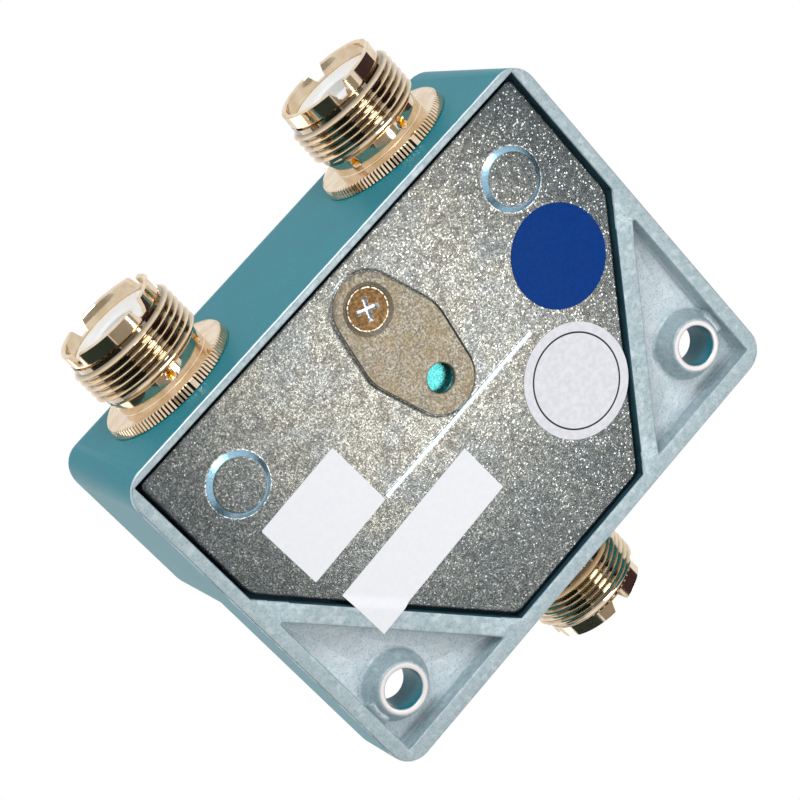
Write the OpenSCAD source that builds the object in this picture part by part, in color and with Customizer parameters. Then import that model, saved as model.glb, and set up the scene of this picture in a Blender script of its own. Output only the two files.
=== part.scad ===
// Two-way coaxial antenna switch, lying on its back rim with the knob up.
// The origin is the centre of the back rim. +Z goes out of the front, and +Y goes
// to the side with the two antenna sockets. The common socket is on the -Y side.

/* [Casting] */
// Width of the casting
body_w = 73; // [72.6:0.2:75]
// Length of the casting from the antenna side to the common side
body_h = 53.6; // [53.4:0.1:54.4]
// Depth of the casting from its back rim to its front face
body_t = 27.4; // [27.4:0.1:28.4]
// Depth of the two mounting ears
ear_t = 10.4; // [9:0.1:12]
// Radius of the upright corners
corner_r = 3.4; // [2.5:0.1:4]
// Radius of the edge round the front face
edge_r = 2; // [1:0.1:2.5]
// Depth of the triangular pockets behind the ears
pocket_depth = 3.2; // [3:0.1:4]
// Thickness of the slanted walls beside the pockets
diagonal_wall = 2.6; // [2:0.1:3.2]

/* [Mounting holes] */
// Distance between the two mounting holes
ear_hole_spacing = 59; // [58:0.5:60]
// Distance of the mounting holes from the centre, towards the common side
ear_hole_y = 18.4; // [17.5:0.1:19]
// Radius of the mounting holes
ear_hole_r = 2.6; // [2:0.1:2.8]
// Height at which the round recess for a washer starts, on the ears' front
washer_recess_z = 5.9; // [5.5:0.1:7]
// Radius of that recess
washer_recess_r = 5.6; // [5:0.1:5.8]

/* [Cover] */
// Half of the cover's width
cover_half_w = 34.3; // [34:0.1:34.6]
// Edge of the cover on the antenna side
cover_top_y = 25.3; // [25:0.1:25.5]
// Edge of the cover on the common side
cover_bottom_y = 24.3; // [24:0.1:24.6]
// Height at which the cover's straight sides turn into its slanted ones
cover_knee_y = 5.45; // [5:0.05:6]
// Half of the width of the cover's edge on the common side
cover_foot_x = 12.2; // [11.5:0.1:12.8]
// Depth of the cover below the back rim
cover_depth = 0.7; // [0.6:0.1:1.2]
// Thickness of the cover
cover_t = 2; // [1.6:0.1:2.4]
// Gap round the cover
cover_gap = 0.45; // [0.2:0.05:0.5]

/* [Sockets] */
// Distance between the axes of the two antenna sockets
socket_spacing = 41.2; // [40.5:0.1:42]
// Height of the socket axes above the back rim
socket_z = 14.2; // [14:0.1:14.6]
// Radius of the knurled flange
flange_r = 9.7; // [9.2:0.1:10.5]
// Outer radius of the thread, 5/8 inch across
thread_r = 7.94; // [7.9:0.01:8]
// Distance between the thread's crests, 24 to the inch
thread_pitch = 1.058; // [1:0.01:1.1]
// Length of a socket outside the casting
socket_length = 12.1; // [11.8:0.1:13]
// Radius of the hole that takes the plug's 4 mm pin
pin_hole_r = 2; // [1.9:0.05:2.1]

/* [Rotor] */
// Distance of the shaft from the centre, towards the antenna side
shaft_y = 3; // [2.8:0.1:3.2]
// Radius of the shaft
shaft_r = 3; // [2.9:0.05:3]
// Angle from the first position to the second, in degrees
throw_angle = 90; // [88:1:90]
// Distance of the blade's contact point from the shaft
contact_reach = 12; // [11.8:0.1:12.2]

/* [Knob] */
// Radius of the knob's skirt
knob_r = 14; // [12:0.5:15]
// Height of the knob
knob_h = 14.4; // [13:0.2:16]
// Width of the knob's finger bar
knob_bar_w = 8; // [8:0.2:9]

/* [Hidden] */
$fn = 64;
overshoot = 1;

// Walls, and the levels up through the housing
front_wall = 2.4;
ceiling_z = body_t - front_wall;
cover_back_z = cover_depth + cover_t;
cover_ledge = 1.3;
wall_strip_z = 0.2;
pocket_corner_r = 0.2;
pocket_margin = [0.1, 0.3];
ear_edge_r = 0.8;
boss_top_r = 3.6;
boss_base_r = 5;
boss_sink = 0.1;
boss_rib_inset = 1;
boss_rib_w = 3.3;
boss_rib_z = 0.9;

// The cover's slanted edge: its outward direction and its distance from the centre
diagonal = [cover_half_w - cover_foot_x, cover_knee_y + cover_bottom_y];
diagonal_out = [diagonal.y, -diagonal.x] / norm(diagonal);
diagonal_reach = diagonal_out * [cover_half_w, cover_knee_y];
diagonal_face = cover_gap + diagonal_wall;

// Feet cast on the cover, its screw and the oval plate
foot_x = 25.7;
foot_y = 16.15;
foot_top_r = 3.5;
foot_base_r = 4.3;
foot_top_z = 0.1;
cover_rib_y = 0.45;
cover_rib_w = 0.7;
cover_rib_h = 0.3;
cover_rib_x = [-14.1, 13.9];
screw_at = [-0.7, 18.95];
screw_r = 1.5;
screw_head_r = 2.85;
screw_head_sink = 0.15;
screw_length = 9;
countersink_r = 3.4;
cross_length = 2.7;
cross_w = 0.6;
cross_depth = 0.8;
cross_turn = 20;
screw_boss_r = 3.4;
screw_boss_top_z = 12.5;
screw_web_w = 3;
oval_t = 0.6;
oval_hole_at = [-1.5, 5.7];
oval_hole_r = 1.9;
oval_end_r = 4.7;
oval_middle_r = 6.3;
dimple_r = 2.4;
dimple_depth = 1.2;

// Sockets, measured outwards from the casting's wall
flange_t = 1.4;
neck_r = 6.9;
neck_end = 3.7;
thread_root_r = 7.3;
thread_crests = 6;
thread_end = neck_end + thread_crests * thread_pitch;
crown_r = 7.2;
crown_bore_r = 6.45;
notch_depth = 1.7;
notch_w = 2.6;
socket_turn = [-14, 21, 0];
spigot_r = 6.5;
spigot_length = 4.2;
spigot_bore_r = 5;
shoulder = 3;
insulator_face = socket_length - 1.8;
insulator_back = -6;
insulator_hole_r = 2.75;
pin_socket_face = insulator_face - 2.4;
pin_socket_depth = 11;
pin_socket_r = 2.7;
tail_r = 1.2;
tail_end = -9.5;
fit_gap = 0.02;

// Contact strips and blades inside, from the cover side up
strip_t = 0.6;
strip_w = 4;
strip_z = socket_z + 0.2;
strip_start = 8.2;
contact_gap = 0.1;
blade_z = strip_z + strip_t + contact_gap;
blade_t = 0.5;
blade_pad_r = 3;
hub_r = 6;
hub_z = blade_z + blade_t;
hub_flange_z = 17.1;
hub_flange_r = 8.5;
hub_top_z = 19;
rivet_r = 1.2;
rivet_top_z = 16.4;
shaft_bottom_z = 17;
ring_t = 0.5;
ring_r = 8.2;
ring_gap = 0.02;
arm_leg_reach = 10.6;
arm_end_reach = 13.5;
ground_leaf_t = 0.5;
ground_post_at = [5, -14.5];
ground_post_r = 2.5;
ground_leaf_z = hub_flange_z - ring_t - contact_gap - ground_leaf_t;
small_screw_r = 1;
small_screw_head_r = 1.9;
small_screw_head_t = 0.8;
small_screw_length = 3;

// Detent and stops
detent_plate_z = hub_top_z;
detent_plate_t = 1;
detent_plate_r = 11;
detent_track_r = 9;
detent_hole_r = 1;
ball_r = 1.5;
ball_clearance = 0.02;
ball_z = detent_plate_z + detent_plate_t + ball_clearance + ball_r;
ball_boss_r = 2.5;
ball_boss_z = 21;
ball_bore_r = 1.55;
ball_bore_top_z = 26.2;
spring_wire_r = 0.2;
spring_coil_r = 1.1;
spring_turns = 3;
spring_sides = 6;
spring_steps = 16;
tab_w = 4;
tab_reach = 14.6;
stop_r = 1.5;
stop_reach = 13.2;
stop_gap = 0.05;
stop_z = 18.6;
stop_angle = asin((tab_w / 2 + stop_r + stop_gap) / stop_reach);
rest_angle = throw_angle / 2;
tab_angle = -90;

// Bushing, nut, shaft and knob
running_gap = 0.03;
bushing_r = 5;
bushing_collar_r = 6;
bushing_collar_t = 1.4;
bushing_bottom_z = 22.6;
front_plate_t = 0.5;
front_plate_inset = 3;
washer_r = 7.2;
washer_t = 0.5;
nut_z = body_t + front_plate_t + washer_t;
nut_r = 6.35;
nut_t = 2.5;
bushing_top_z = nut_z + nut_t + 0.1;
collar_r = 4.4;
collar_z = [20.05, 22.5];
clip_z = bushing_top_z + 0.1;
clip_t = 0.6;
clip_r = 4.6;
clip_groove_r = 2.5;
knob_z = body_t + front_plate_t + 0.7;
knob_skirt_t = 4.6;
knob_recess_r = 8.5;
knob_recess_top_z = clip_z + clip_t + 0.2;
knob_top_z = knob_z + knob_h;
knob_edge_r = 1.2;
shaft_top_z = knob_top_z - 2.6;
shaft_flat = 2.4;
pointer_w = 1.4;
pointer_t = 0.4;
pointer_length = 9;
set_screw_r = 1.5;
set_screw_length = 5;
set_screw_z = knob_top_z - 7.4;
set_screw_key_r = 0.8;

// Labels on the cover
label_t = 0.1;
blue_label_at = [-23.7, 4.4];
blue_label_r = 6.8;
round_label_at = [-14.4, -8.9];
round_label_r = 7.6;
wide_label_at = [21, 5.1];
wide_label_size = [13.5, 9.9];
long_label_at = [14.35, -7.3];
long_label_size = [24.1, 7.55];
label_turn = -1.4;
label_fold = 0.9;

// Corners of the cover's six-sided outline, with each kind of side moved outwards
function slant_x(y, out) = (diagonal_reach + out - diagonal_out.y * y) / diagonal_out.x;
function slant_y(x, out) = (diagonal_reach + out - diagonal_out.x * x) / diagonal_out.y;
function right_half(side, top, bottom, slant) = [
    [cover_half_w + side, cover_top_y + top],
    [cover_half_w + side, slant_y(cover_half_w + side, slant)],
    [slant_x(-cover_bottom_y - bottom, slant), -cover_bottom_y - bottom]
];
function mirrored(points) = [for (i = [len(points) - 1:-1:0]) [-points[i].x, points[i].y]];
function six_sides(side, top, bottom, slant) = let (half = right_half(side, top, bottom, slant))
    concat(half, mirrored(half));
function six_sides_even(out) = six_sides(out, out, out, out);

// A prism with rounded upright corners, and a rounded edge round its far end
module rounded_prism(centres, r, h, edge) {
    hull()
        for (c = centres, a = [0:22.5:90])
            translate([c.x, c.y, 0])
                cylinder(r = r - edge * (1 - cos(a)), h = h - edge * (1 - sin(a)), $fn = 32);
}

module at_shaft() {
    translate([0, shaft_y, 0])
        children();
}

// Turns the rotor from pointing along +Y to its first position
module on_rotor() {
    at_shaft()
        rotate([0, 0, rest_angle])
            children();
}

// A flat strip with round ends between two points
module strip(from, to, w, t) {
    length = norm(to - from);
    translate([from.x, from.y, 0])
        rotate([0, 0, atan2(to.y - from.y, to.x - from.x)])
            union() {
                translate([0, -w / 2, 0])
                    cube([length, w, t]);
                cylinder(r = w / 2, h = t);
                translate([length, 0, 0])
                    cylinder(r = w / 2, h = t);
            }
}

// ---- Casting ----

module outer_form() {
    block = six_sides(body_w / 2 - cover_half_w - corner_r, body_h / 2 - cover_top_y - corner_r,
        body_h / 2 - cover_bottom_y - corner_r, diagonal_face - corner_r);
    slab_x = body_w / 2 - corner_r;
    slab_y = body_h / 2 - corner_r;
    rounded_prism(block, corner_r, body_t, edge_r);
    rounded_prism([[slab_x, slab_y], [slab_x, -slab_y], [-slab_x, slab_y], [-slab_x, -slab_y]],
        corner_r, ear_t, ear_edge_r);
}

module ear_pocket() {
    r = pocket_corner_r;
    x = cover_half_w + pocket_margin.x - r;
    y = -cover_bottom_y - pocket_margin.y + r;
    corners = [[x, slant_y(x, diagonal_face + r)], [x, y], [slant_x(y, diagonal_face + r), y]];
    translate([0, 0, -overshoot])
        hull()
            for (c = corners)
                translate([c.x, c.y, 0])
                    cylinder(r = r, h = pocket_depth + overshoot, $fn = 32);
}

module ear_boss() {
    translate([ear_hole_spacing / 2, -ear_hole_y, 0]) {
        cylinder(r1 = boss_top_r, r2 = boss_base_r, h = pocket_depth + boss_sink);
        translate([0, -boss_rib_w / 2, boss_rib_z])
            cube([body_w / 2 - ear_hole_spacing / 2 - boss_rib_inset, boss_rib_w, pocket_depth]);
    }
}

module ear_hole() {
    translate([ear_hole_spacing / 2, -ear_hole_y, -overshoot])
        cylinder(r = ear_hole_r, h = ear_t + 2 * overshoot);
    translate([ear_hole_spacing / 2, -ear_hole_y, washer_recess_z])
        cylinder(r = washer_recess_r, h = ear_t - washer_recess_z + overshoot);
}

module both_ears() {
    children();
    mirror([1, 0, 0])
        children();
}

// The lowered top of the slanted walls, where a label may lie over the cover's gap
module wall_strip_cut() {
    translate([0, 0, -overshoot])
        linear_extrude(overshoot + wall_strip_z)
            intersection() {
                polygon(six_sides(0, 0, 0, diagonal_face + 0.01));
                polygon([[cover_half_w, slant_y(cover_half_w, cover_gap)],
                    [cover_half_w, -cover_bottom_y],
                    [slant_x(-cover_bottom_y, cover_gap), -cover_bottom_y]]);
            }
}

module inner_posts() {
    translate([screw_at.x, screw_at.y, cover_back_z])
        cylinder(r = screw_boss_r, h = screw_boss_top_z - cover_back_z);
    translate([screw_at.x - screw_web_w / 2, screw_at.y, cover_back_z])
        cube([screw_web_w, cover_top_y - screw_at.y - 0.5, screw_boss_top_z - cover_back_z]);
    translate([0, shaft_y + detent_track_r, ball_boss_z])
        cylinder(r = ball_boss_r, h = ceiling_z - ball_boss_z + 0.5);
    translate([ground_post_at.x, ground_post_at.y, ground_leaf_z + ground_leaf_t])
        cylinder(r = ground_post_r, h = ceiling_z - ground_leaf_z);
    at_shaft()
        for (a = [tab_angle + rest_angle + stop_angle, tab_angle - rest_angle - stop_angle])
            rotate([0, 0, a])
                translate([stop_reach, 0, stop_z])
                    cylinder(r = stop_r, h = ceiling_z - stop_z + 0.5);
}

module socket_hole() {
    translate([0, 0, -spigot_length - overshoot])
        cylinder(r = spigot_r, h = spigot_length + 2 * overshoot);
}

module body_casting() {
    color([0.29, 0.61, 0.66])
        difference() {
            union() {
                difference() {
                    outer_form();
                    translate([0, 0, -overshoot])
                        linear_extrude(cover_back_z + overshoot)
                            polygon(six_sides_even(cover_gap));
                    linear_extrude(ceiling_z)
                        polygon(six_sides_even(-cover_ledge));
                    both_ears()
                        ear_pocket();
                    both_ears()
                        wall_strip_cut();
                }
                both_ears()
                    ear_boss();
                inner_posts();
            }
            both_ears()
                ear_hole();
            for (side = [-1, 1])
                on_socket_axis(side * socket_spacing / 2, 1)
                    socket_hole();
            on_socket_axis(0, -1)
                socket_hole();
            translate([screw_at.x, screw_at.y, 0])
                cylinder(r = screw_r, h = cover_depth + screw_length);
            at_shaft()
                translate([0, 0, ceiling_z - overshoot])
                    cylinder(r = bushing_r, h = front_wall + 2 * overshoot);
            translate([0, shaft_y + detent_track_r, ball_boss_z - overshoot])
                cylinder(r = ball_bore_r, h = ball_bore_top_z - ball_boss_z + overshoot);
            translate([ground_post_at.x, ground_post_at.y, ground_leaf_z])
                cylinder(r = small_screw_r, h = ground_leaf_t + small_screw_length);
        }
}

// ---- Cover, oval plate and screw ----

module cover_plate() {
    color([0.62, 0.63, 0.62])
        difference() {
            union() {
                translate([0, 0, cover_depth])
                    linear_extrude(cover_t)
                        polygon(six_sides_even(0));
                for (side = [-1, 1])
                    translate([side * foot_x, foot_y, foot_top_z])
                        cylinder(r1 = foot_top_r, r2 = foot_base_r, h = cover_depth - foot_top_z + 0.1);
                translate([cover_rib_x[0], cover_rib_y - cover_rib_w / 2, cover_depth - cover_rib_h])
                    cube([cover_rib_x[1] - cover_rib_x[0], cover_rib_w, cover_rib_h + 0.1]);
            }
            translate([screw_at.x, screw_at.y, 0])
                cylinder(r = screw_r + 0.2, h = cover_back_z + overshoot);
            translate([oval_hole_at.x, oval_hole_at.y, 0])
                cylinder(r = dimple_r, h = cover_depth + dimple_depth);
        }
}

module oval_plate() {
    middle = (screw_at + oval_hole_at) / 2;
    color([0.66, 0.62, 0.52])
        difference() {
            translate([0, 0, cover_depth - oval_t])
                hull() {
                    for (p = [screw_at, oval_hole_at])
                        translate(p)
                            cylinder(r = oval_end_r, h = oval_t, $fn = 48);
                    translate(middle)
                        cylinder(r = oval_middle_r, h = oval_t, $fn = 48);
                }
            translate([screw_at.x, screw_at.y, 0])
                cylinder(r = screw_r + 0.2, h = 2 * cover_depth);
            translate([screw_at.x, screw_at.y, cover_depth - oval_t])
                cylinder(r1 = countersink_r, r2 = screw_r + 0.2, h = oval_t);
            translate([oval_hole_at.x, oval_hole_at.y, 0])
                cylinder(r = oval_hole_r, h = 2 * cover_depth);
        }
}

module cover_screw() {
    head_z = cover_depth - oval_t + screw_head_sink;
    head_t = oval_t * (screw_head_r - screw_r) / (countersink_r - screw_r - 0.2);
    color([0.5, 0.36, 0.2])
        translate([screw_at.x, screw_at.y, head_z])
            difference() {
                union() {
                    translate([0, 0, head_t])
                        cylinder(r = screw_r - fit_gap, h = screw_length - head_t);
                    cylinder(r1 = screw_head_r, r2 = screw_r - fit_gap, h = head_t);
                }
                for (a = [0, 90])
                    rotate([0, 0, a + cross_turn])
                        translate([-cross_length / 2, -cross_w / 2, -overshoot])
                            cube([cross_length, cross_w, cross_depth + overshoot]);
            }
}

module front_plate() {
    side = body_w / 2 - cover_half_w - front_plate_inset;
    end_top = body_h / 2 - cover_top_y - front_plate_inset;
    end_bottom = body_h / 2 - cover_bottom_y - front_plate_inset;
    color([0.15, 0.15, 0.16])
        translate([0, 0, body_t])
            linear_extrude(front_plate_t)
                difference() {
                    polygon(six_sides(side, end_top, end_bottom, diagonal_face - front_plate_inset));
                    translate([0, shaft_y])
                        circle(r = bushing_r + 0.1);
                }
}

// ---- Sockets ----

// Puts +Z along a socket's axis, outwards, with its zero on the casting's wall
module on_socket_axis(x, side) {
    translate([x, side * body_h / 2, socket_z])
        rotate([-90 * side, 0, 0])
            children();
}

module shell(turn) {
    crests = [for (i = [0:thread_crests - 1])
        each [[thread_root_r, neck_end + i * thread_pitch], [thread_r, neck_end + (i + 0.4) * thread_pitch],
            [thread_r, neck_end + (i + 0.6) * thread_pitch]]];
    outline = concat(
        [[spigot_bore_r, -spigot_length], [spigot_r - fit_gap, -spigot_length], [spigot_r - fit_gap, 0],
            [flange_r, 0], [flange_r, flange_t], [neck_r, flange_t], [neck_r, neck_end]],
        crests,
        [[thread_root_r, thread_end], [crown_r, thread_end], [crown_r, socket_length - 0.3],
            [crown_r - 0.3, socket_length], [crown_bore_r, socket_length], [crown_bore_r, shoulder],
            [spigot_bore_r, shoulder]]);
    color([0.80, 0.74, 0.64])
        difference() {
            rotate_extrude()
                polygon(outline);
            for (i = [0:3])
                rotate([0, 0, turn + 90 * i])
                    translate([0, 0, socket_length - notch_depth])
                        rotate([90, 0, 90])
                            linear_extrude(2 * crown_r)
                                polygon([[-notch_w / 4, 0], [notch_w / 4, 0],
                                    [notch_w / 2, notch_depth + overshoot],
                                    [-notch_w / 2, notch_depth + overshoot]]);
        }
}

module insulator() {
    front_r = crown_bore_r - fit_gap;
    back_r = spigot_bore_r - fit_gap;
    color([0.95, 0.95, 0.93])
        rotate_extrude()
            polygon([[insulator_hole_r, insulator_back], [back_r, insulator_back],
                [back_r, shoulder + fit_gap], [front_r, shoulder + fit_gap],
                [front_r, insulator_face], [insulator_hole_r, insulator_face]]);
}

module pin_socket() {
    color([0.83, 0.72, 0.45])
        difference() {
            union() {
                translate([0, 0, insulator_back])
                    cylinder(r = pin_socket_r, h = pin_socket_face - insulator_back);
                translate([0, 0, tail_end])
                    cylinder(r = tail_r, h = insulator_back - tail_end + 0.5);
            }
            translate([0, 0, pin_socket_face - pin_socket_depth])
                cylinder(r = pin_hole_r, h = pin_socket_depth + overshoot);
            for (i = [0:1])
                rotate([0, 0, 45 + 90 * i])
                    translate([-pin_socket_r - overshoot, -0.2, pin_socket_face - 4])
                        cube([2 * (pin_socket_r + overshoot), 0.4, 4 + overshoot]);
        }
}

// Files a flat on the tail, on its knob side, for the contact strip to lie on
module tail_flat_cut(x, side) {
    outer_y = body_h / 2 + insulator_back - 0.1;
    inner_y = body_h / 2 + tail_end - overshoot;
    y = side > 0 ? inner_y : -outer_y;
    translate([x - 2 * tail_r, y, strip_z])
        cube([4 * tail_r, outer_y - inner_y, 2 * tail_r]);
}

module finished_pin_socket(x, side) {
    color([0.83, 0.72, 0.45])
        difference() {
            on_socket_axis(x, side)
                pin_socket();
            tail_flat_cut(x, side);
        }
}

// A strip from an antenna socket's tail to where the blade meets it
module antenna_strip(side) {
    start = [side * socket_spacing / 2, body_h / 2 - strip_start];
    angle = 90 - side * rest_angle;
    contact = [contact_reach * cos(angle), shaft_y + contact_reach * sin(angle)];
    color([0.85, 0.85, 0.83])
        translate([0, 0, strip_z])
            strip(start, contact, strip_w, strip_t);
}

module common_strip() {
    color([0.85, 0.85, 0.83])
        translate([0, 0, strip_z])
            strip([0, strip_start - body_h / 2], [0, shaft_y], strip_w, strip_t);
}

module antenna_1_shell() {
    on_socket_axis(-socket_spacing / 2, 1)
        shell(socket_turn[0]);
}

module antenna_2_shell() {
    on_socket_axis(socket_spacing / 2, 1)
        shell(socket_turn[1]);
}

module common_shell() {
    on_socket_axis(0, -1)
        shell(socket_turn[2]);
}

module antenna_1_insulator() {
    on_socket_axis(-socket_spacing / 2, 1)
        insulator();
}

module antenna_2_insulator() {
    on_socket_axis(socket_spacing / 2, 1)
        insulator();
}

module common_insulator() {
    on_socket_axis(0, -1)
        insulator();
}

module antenna_1_pin_socket() {
    finished_pin_socket(-socket_spacing / 2, 1);
}

module antenna_2_pin_socket() {
    finished_pin_socket(socket_spacing / 2, 1);
}

module common_pin_socket() {
    finished_pin_socket(0, -1);
}

module antenna_1_strip() {
    antenna_strip(-1);
}

module antenna_2_strip() {
    antenna_strip(1);
}

// ---- Ground spring on the casting ----

module ground_spring() {
    from_shaft = ground_post_at - [0, shaft_y];
    tip = [0, shaft_y] + from_shaft * ring_r / norm(from_shaft);
    color([0.72, 0.5, 0.3])
        difference() {
            translate([0, 0, ground_leaf_z])
                strip(ground_post_at, tip, strip_w, ground_leaf_t);
            translate([ground_post_at.x, ground_post_at.y, ground_leaf_z - overshoot])
                cylinder(r = small_screw_r + 0.1, h = ground_leaf_t + 2 * overshoot);
        }
}

module ground_spring_screw() {
    color([0.7, 0.7, 0.7])
        translate([ground_post_at.x, ground_post_at.y, ground_leaf_z]) {
            cylinder(r = small_screw_r - fit_gap, h = ground_leaf_t + small_screw_length - 0.1);
            translate([0, 0, -small_screw_head_t])
                cylinder(r = small_screw_head_r, h = small_screw_head_t);
        }
}

// ---- Bushing, washer and nut ----

module shaft_bushing() {
    color([0.78, 0.62, 0.34])
        at_shaft()
            difference() {
                union() {
                    translate([0, 0, bushing_bottom_z])
                        cylinder(r = bushing_r - fit_gap, h = bushing_top_z - bushing_bottom_z);
                    translate([0, 0, ceiling_z - bushing_collar_t])
                        cylinder(r = bushing_collar_r, h = bushing_collar_t);
                }
                translate([0, 0, bushing_bottom_z - overshoot])
                    cylinder(r = shaft_r + running_gap,
                        h = bushing_top_z - bushing_bottom_z + 2 * overshoot);
            }
}

module bushing_washer() {
    color([0.75, 0.75, 0.76])
        at_shaft()
            translate([0, 0, body_t + front_plate_t])
                difference() {
                    cylinder(r = washer_r, h = washer_t);
                    translate([0, 0, -overshoot])
                        cylinder(r = bushing_r + 0.05, h = washer_t + 2 * overshoot);
                }
}

module bushing_nut() {
    color([0.75, 0.75, 0.76])
        at_shaft()
            translate([0, 0, nut_z])
                difference() {
                    cylinder(r = nut_r, h = nut_t, $fn = 6);
                    translate([0, 0, -overshoot])
                        cylinder(r = bushing_r, h = nut_t + 2 * overshoot);
                }
}

// ---- Rotor ----

module shaft() {
    color([0.7, 0.7, 0.72])
        on_rotor()
            difference() {
                union() {
                    translate([0, 0, shaft_bottom_z])
                        cylinder(r = shaft_r, h = shaft_top_z - shaft_bottom_z);
                    translate([0, 0, collar_z[0]])
                        cylinder(r = collar_r, h = collar_z[1] - collar_z[0]);
                }
                translate([0, 0, clip_z])
                    difference() {
                        cylinder(r = shaft_r + overshoot, h = clip_t);
                        cylinder(r = clip_groove_r, h = clip_t);
                    }
                translate([-shaft_r, -shaft_r - overshoot, knob_recess_top_z + 1])
                    cube([2 * shaft_r, shaft_r + overshoot - shaft_flat, shaft_top_z]);
            }
}

module shaft_clip() {
    color([0.25, 0.25, 0.27])
        on_rotor()
            translate([0, 0, clip_z + fit_gap])
                difference() {
                    cylinder(r = clip_r, h = clip_t - 2 * fit_gap);
                    translate([0, 0, -overshoot])
                        cylinder(r = clip_groove_r + fit_gap, h = clip_t + 2 * overshoot);
                    translate([-1.6, 0, -overshoot])
                        cube([3.2, clip_r + overshoot, clip_t + 2 * overshoot]);
                }
}

module rotor_hub() {
    color([0.93, 0.92, 0.88])
        on_rotor()
            difference() {
                union() {
                    translate([0, 0, hub_z])
                        cylinder(r = hub_r, h = hub_top_z - hub_z);
                    translate([0, 0, hub_flange_z])
                        cylinder(r = hub_flange_r, h = hub_top_z - hub_flange_z);
                }
                translate([0, 0, shaft_bottom_z - fit_gap])
                    cylinder(r = shaft_r + fit_gap, h = hub_top_z);
                translate([0, 0, hub_z - overshoot])
                    cylinder(r = rivet_r + fit_gap, h = rivet_top_z - hub_z + overshoot + fit_gap);
            }
}

module signal_blade() {
    color([0.87, 0.87, 0.85])
        on_rotor()
            difference() {
                union() {
                    translate([0, 0, blade_z])
                        strip([0, 0], [0, contact_reach], strip_w, blade_t);
                    translate([0, 0, blade_z])
                        cylinder(r = blade_pad_r, h = blade_t);
                }
                translate([0, 0, blade_z - overshoot])
                    cylinder(r = rivet_r + fit_gap, h = blade_t + 2 * overshoot);
            }
}

module blade_rivet() {
    color([0.8, 0.68, 0.4])
        on_rotor()
            translate([0, 0, blade_z])
                cylinder(r = rivet_r, h = rivet_top_z - blade_z);
}

// A ring under the hub's flange with two bent arms, square to the signal blade
module ground_blade() {
    ring_z = hub_flange_z - ring_t;
    color([0.72, 0.5, 0.3])
        on_rotor()
            difference() {
                union() {
                    translate([0, 0, ring_z])
                        cylinder(r = ring_r, h = ring_t - ring_gap);
                    for (side = [-1, 1])
                        scale([side, 1, 1]) {
                            translate([hub_r + 0.5, -strip_w / 2, ring_z])
                                cube([arm_leg_reach - hub_r, strip_w, ring_t - ring_gap]);
                            translate([arm_leg_reach, -strip_w / 2, blade_z])
                                cube([ring_t, strip_w, ring_z + ring_t - ring_gap - blade_z]);
                            translate([arm_leg_reach, -strip_w / 2, blade_z])
                                cube([arm_end_reach - arm_leg_reach, strip_w, blade_t]);
                        }
                }
                translate([0, 0, ring_z - overshoot])
                    cylinder(r = hub_r + ring_gap, h = 4 * overshoot);
            }
}

module detent_plate() {
    color([0.72, 0.73, 0.75])
        at_shaft()
            translate([0, 0, detent_plate_z])
                difference() {
                    union() {
                        cylinder(r = detent_plate_r, h = detent_plate_t);
                        rotate([0, 0, tab_angle + rest_angle])
                            translate([0, -tab_w / 2, 0])
                                cube([tab_reach, tab_w, detent_plate_t]);
                    }
                    translate([0, 0, -overshoot])
                        cylinder(r = shaft_r + fit_gap, h = detent_plate_t + 2 * overshoot);
                    for (a = [90, 90 + throw_angle])
                        rotate([0, 0, a])
                            translate([detent_track_r, 0, -overshoot])
                                cylinder(r = detent_hole_r, h = detent_plate_t + 2 * overshoot);
                }
}

module detent_ball() {
    color([0.75, 0.76, 0.78])
        translate([0, shaft_y + detent_track_r, ball_z])
            sphere(r = ball_r);
}

// One ring of points round the coiled wire
function wire_ring(turn, z) = [for (s = [0:spring_sides - 1])
    let (a = 360 * s / spring_sides, reach = spring_coil_r + spring_wire_r * cos(a))
    [reach * cos(turn), reach * sin(turn), z + spring_wire_r * sin(a)]];

module detent_spring() {
    bottom = ball_z + ball_r + 0.05 + spring_wire_r;
    top = ball_bore_top_z - 0.02 - spring_wire_r;
    rings = spring_turns * spring_steps;
    n = spring_sides;
    points = [for (i = [0:rings])
        each wire_ring(360 * i / spring_steps, bottom + (top - bottom) * i / rings)];
    walls = [for (i = [0:rings - 1], s = [0:n - 1])
        let (a = i * n + s, b = i * n + (s + 1) % n)
        each [[a, b + n, b], [a, a + n, b + n]]];
    first_cap = [for (s = [1:n - 2]) [0, s, s + 1]];
    last_cap = [for (s = [1:n - 2]) [rings * n, rings * n + s + 1, rings * n + s]];
    color([0.7, 0.71, 0.73])
        translate([0, shaft_y + detent_track_r, 0])
            polyhedron(points, concat(walls, first_cap, last_cap));
}

module knob() {
    bar_reach = knob_r - knob_bar_w / 2 - 0.2;
    color([0.08, 0.08, 0.09])
        on_rotor()
            difference() {
                union() {
                    translate([0, 0, knob_z])
                        rotate_extrude()
                            polygon([[0, 0], [knob_r, 0], [knob_r, knob_skirt_t - 1],
                                [knob_r - 1, knob_skirt_t], [0, knob_skirt_t]]);
                    translate([0, 0, knob_z])
                        rounded_prism([[0, bar_reach], [0, -bar_reach]], knob_bar_w / 2, knob_h,
                            knob_edge_r);
                }
                translate([0, 0, knob_z - overshoot])
                    cylinder(r = knob_recess_r, h = knob_recess_top_z - knob_z + overshoot);
                translate([0, 0, knob_z])
                    difference() {
                        cylinder(r = shaft_r + fit_gap, h = shaft_top_z - knob_z + 0.1);
                        translate([-shaft_r - overshoot, -shaft_r - overshoot,
                            knob_recess_top_z + 1 - knob_z])
                            cube([2 * (shaft_r + overshoot),
                                shaft_r + overshoot - shaft_flat - fit_gap, knob_h]);
                    }
                translate([0, 0, set_screw_z])
                    rotate([90, 0, 0])
                        cylinder(r = set_screw_r, h = 2 * knob_r);
                translate([-pointer_w / 2, knob_r - 1.4 - pointer_length, knob_top_z - pointer_t])
                    cube([pointer_w, pointer_length, pointer_t + overshoot]);
            }
}

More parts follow.
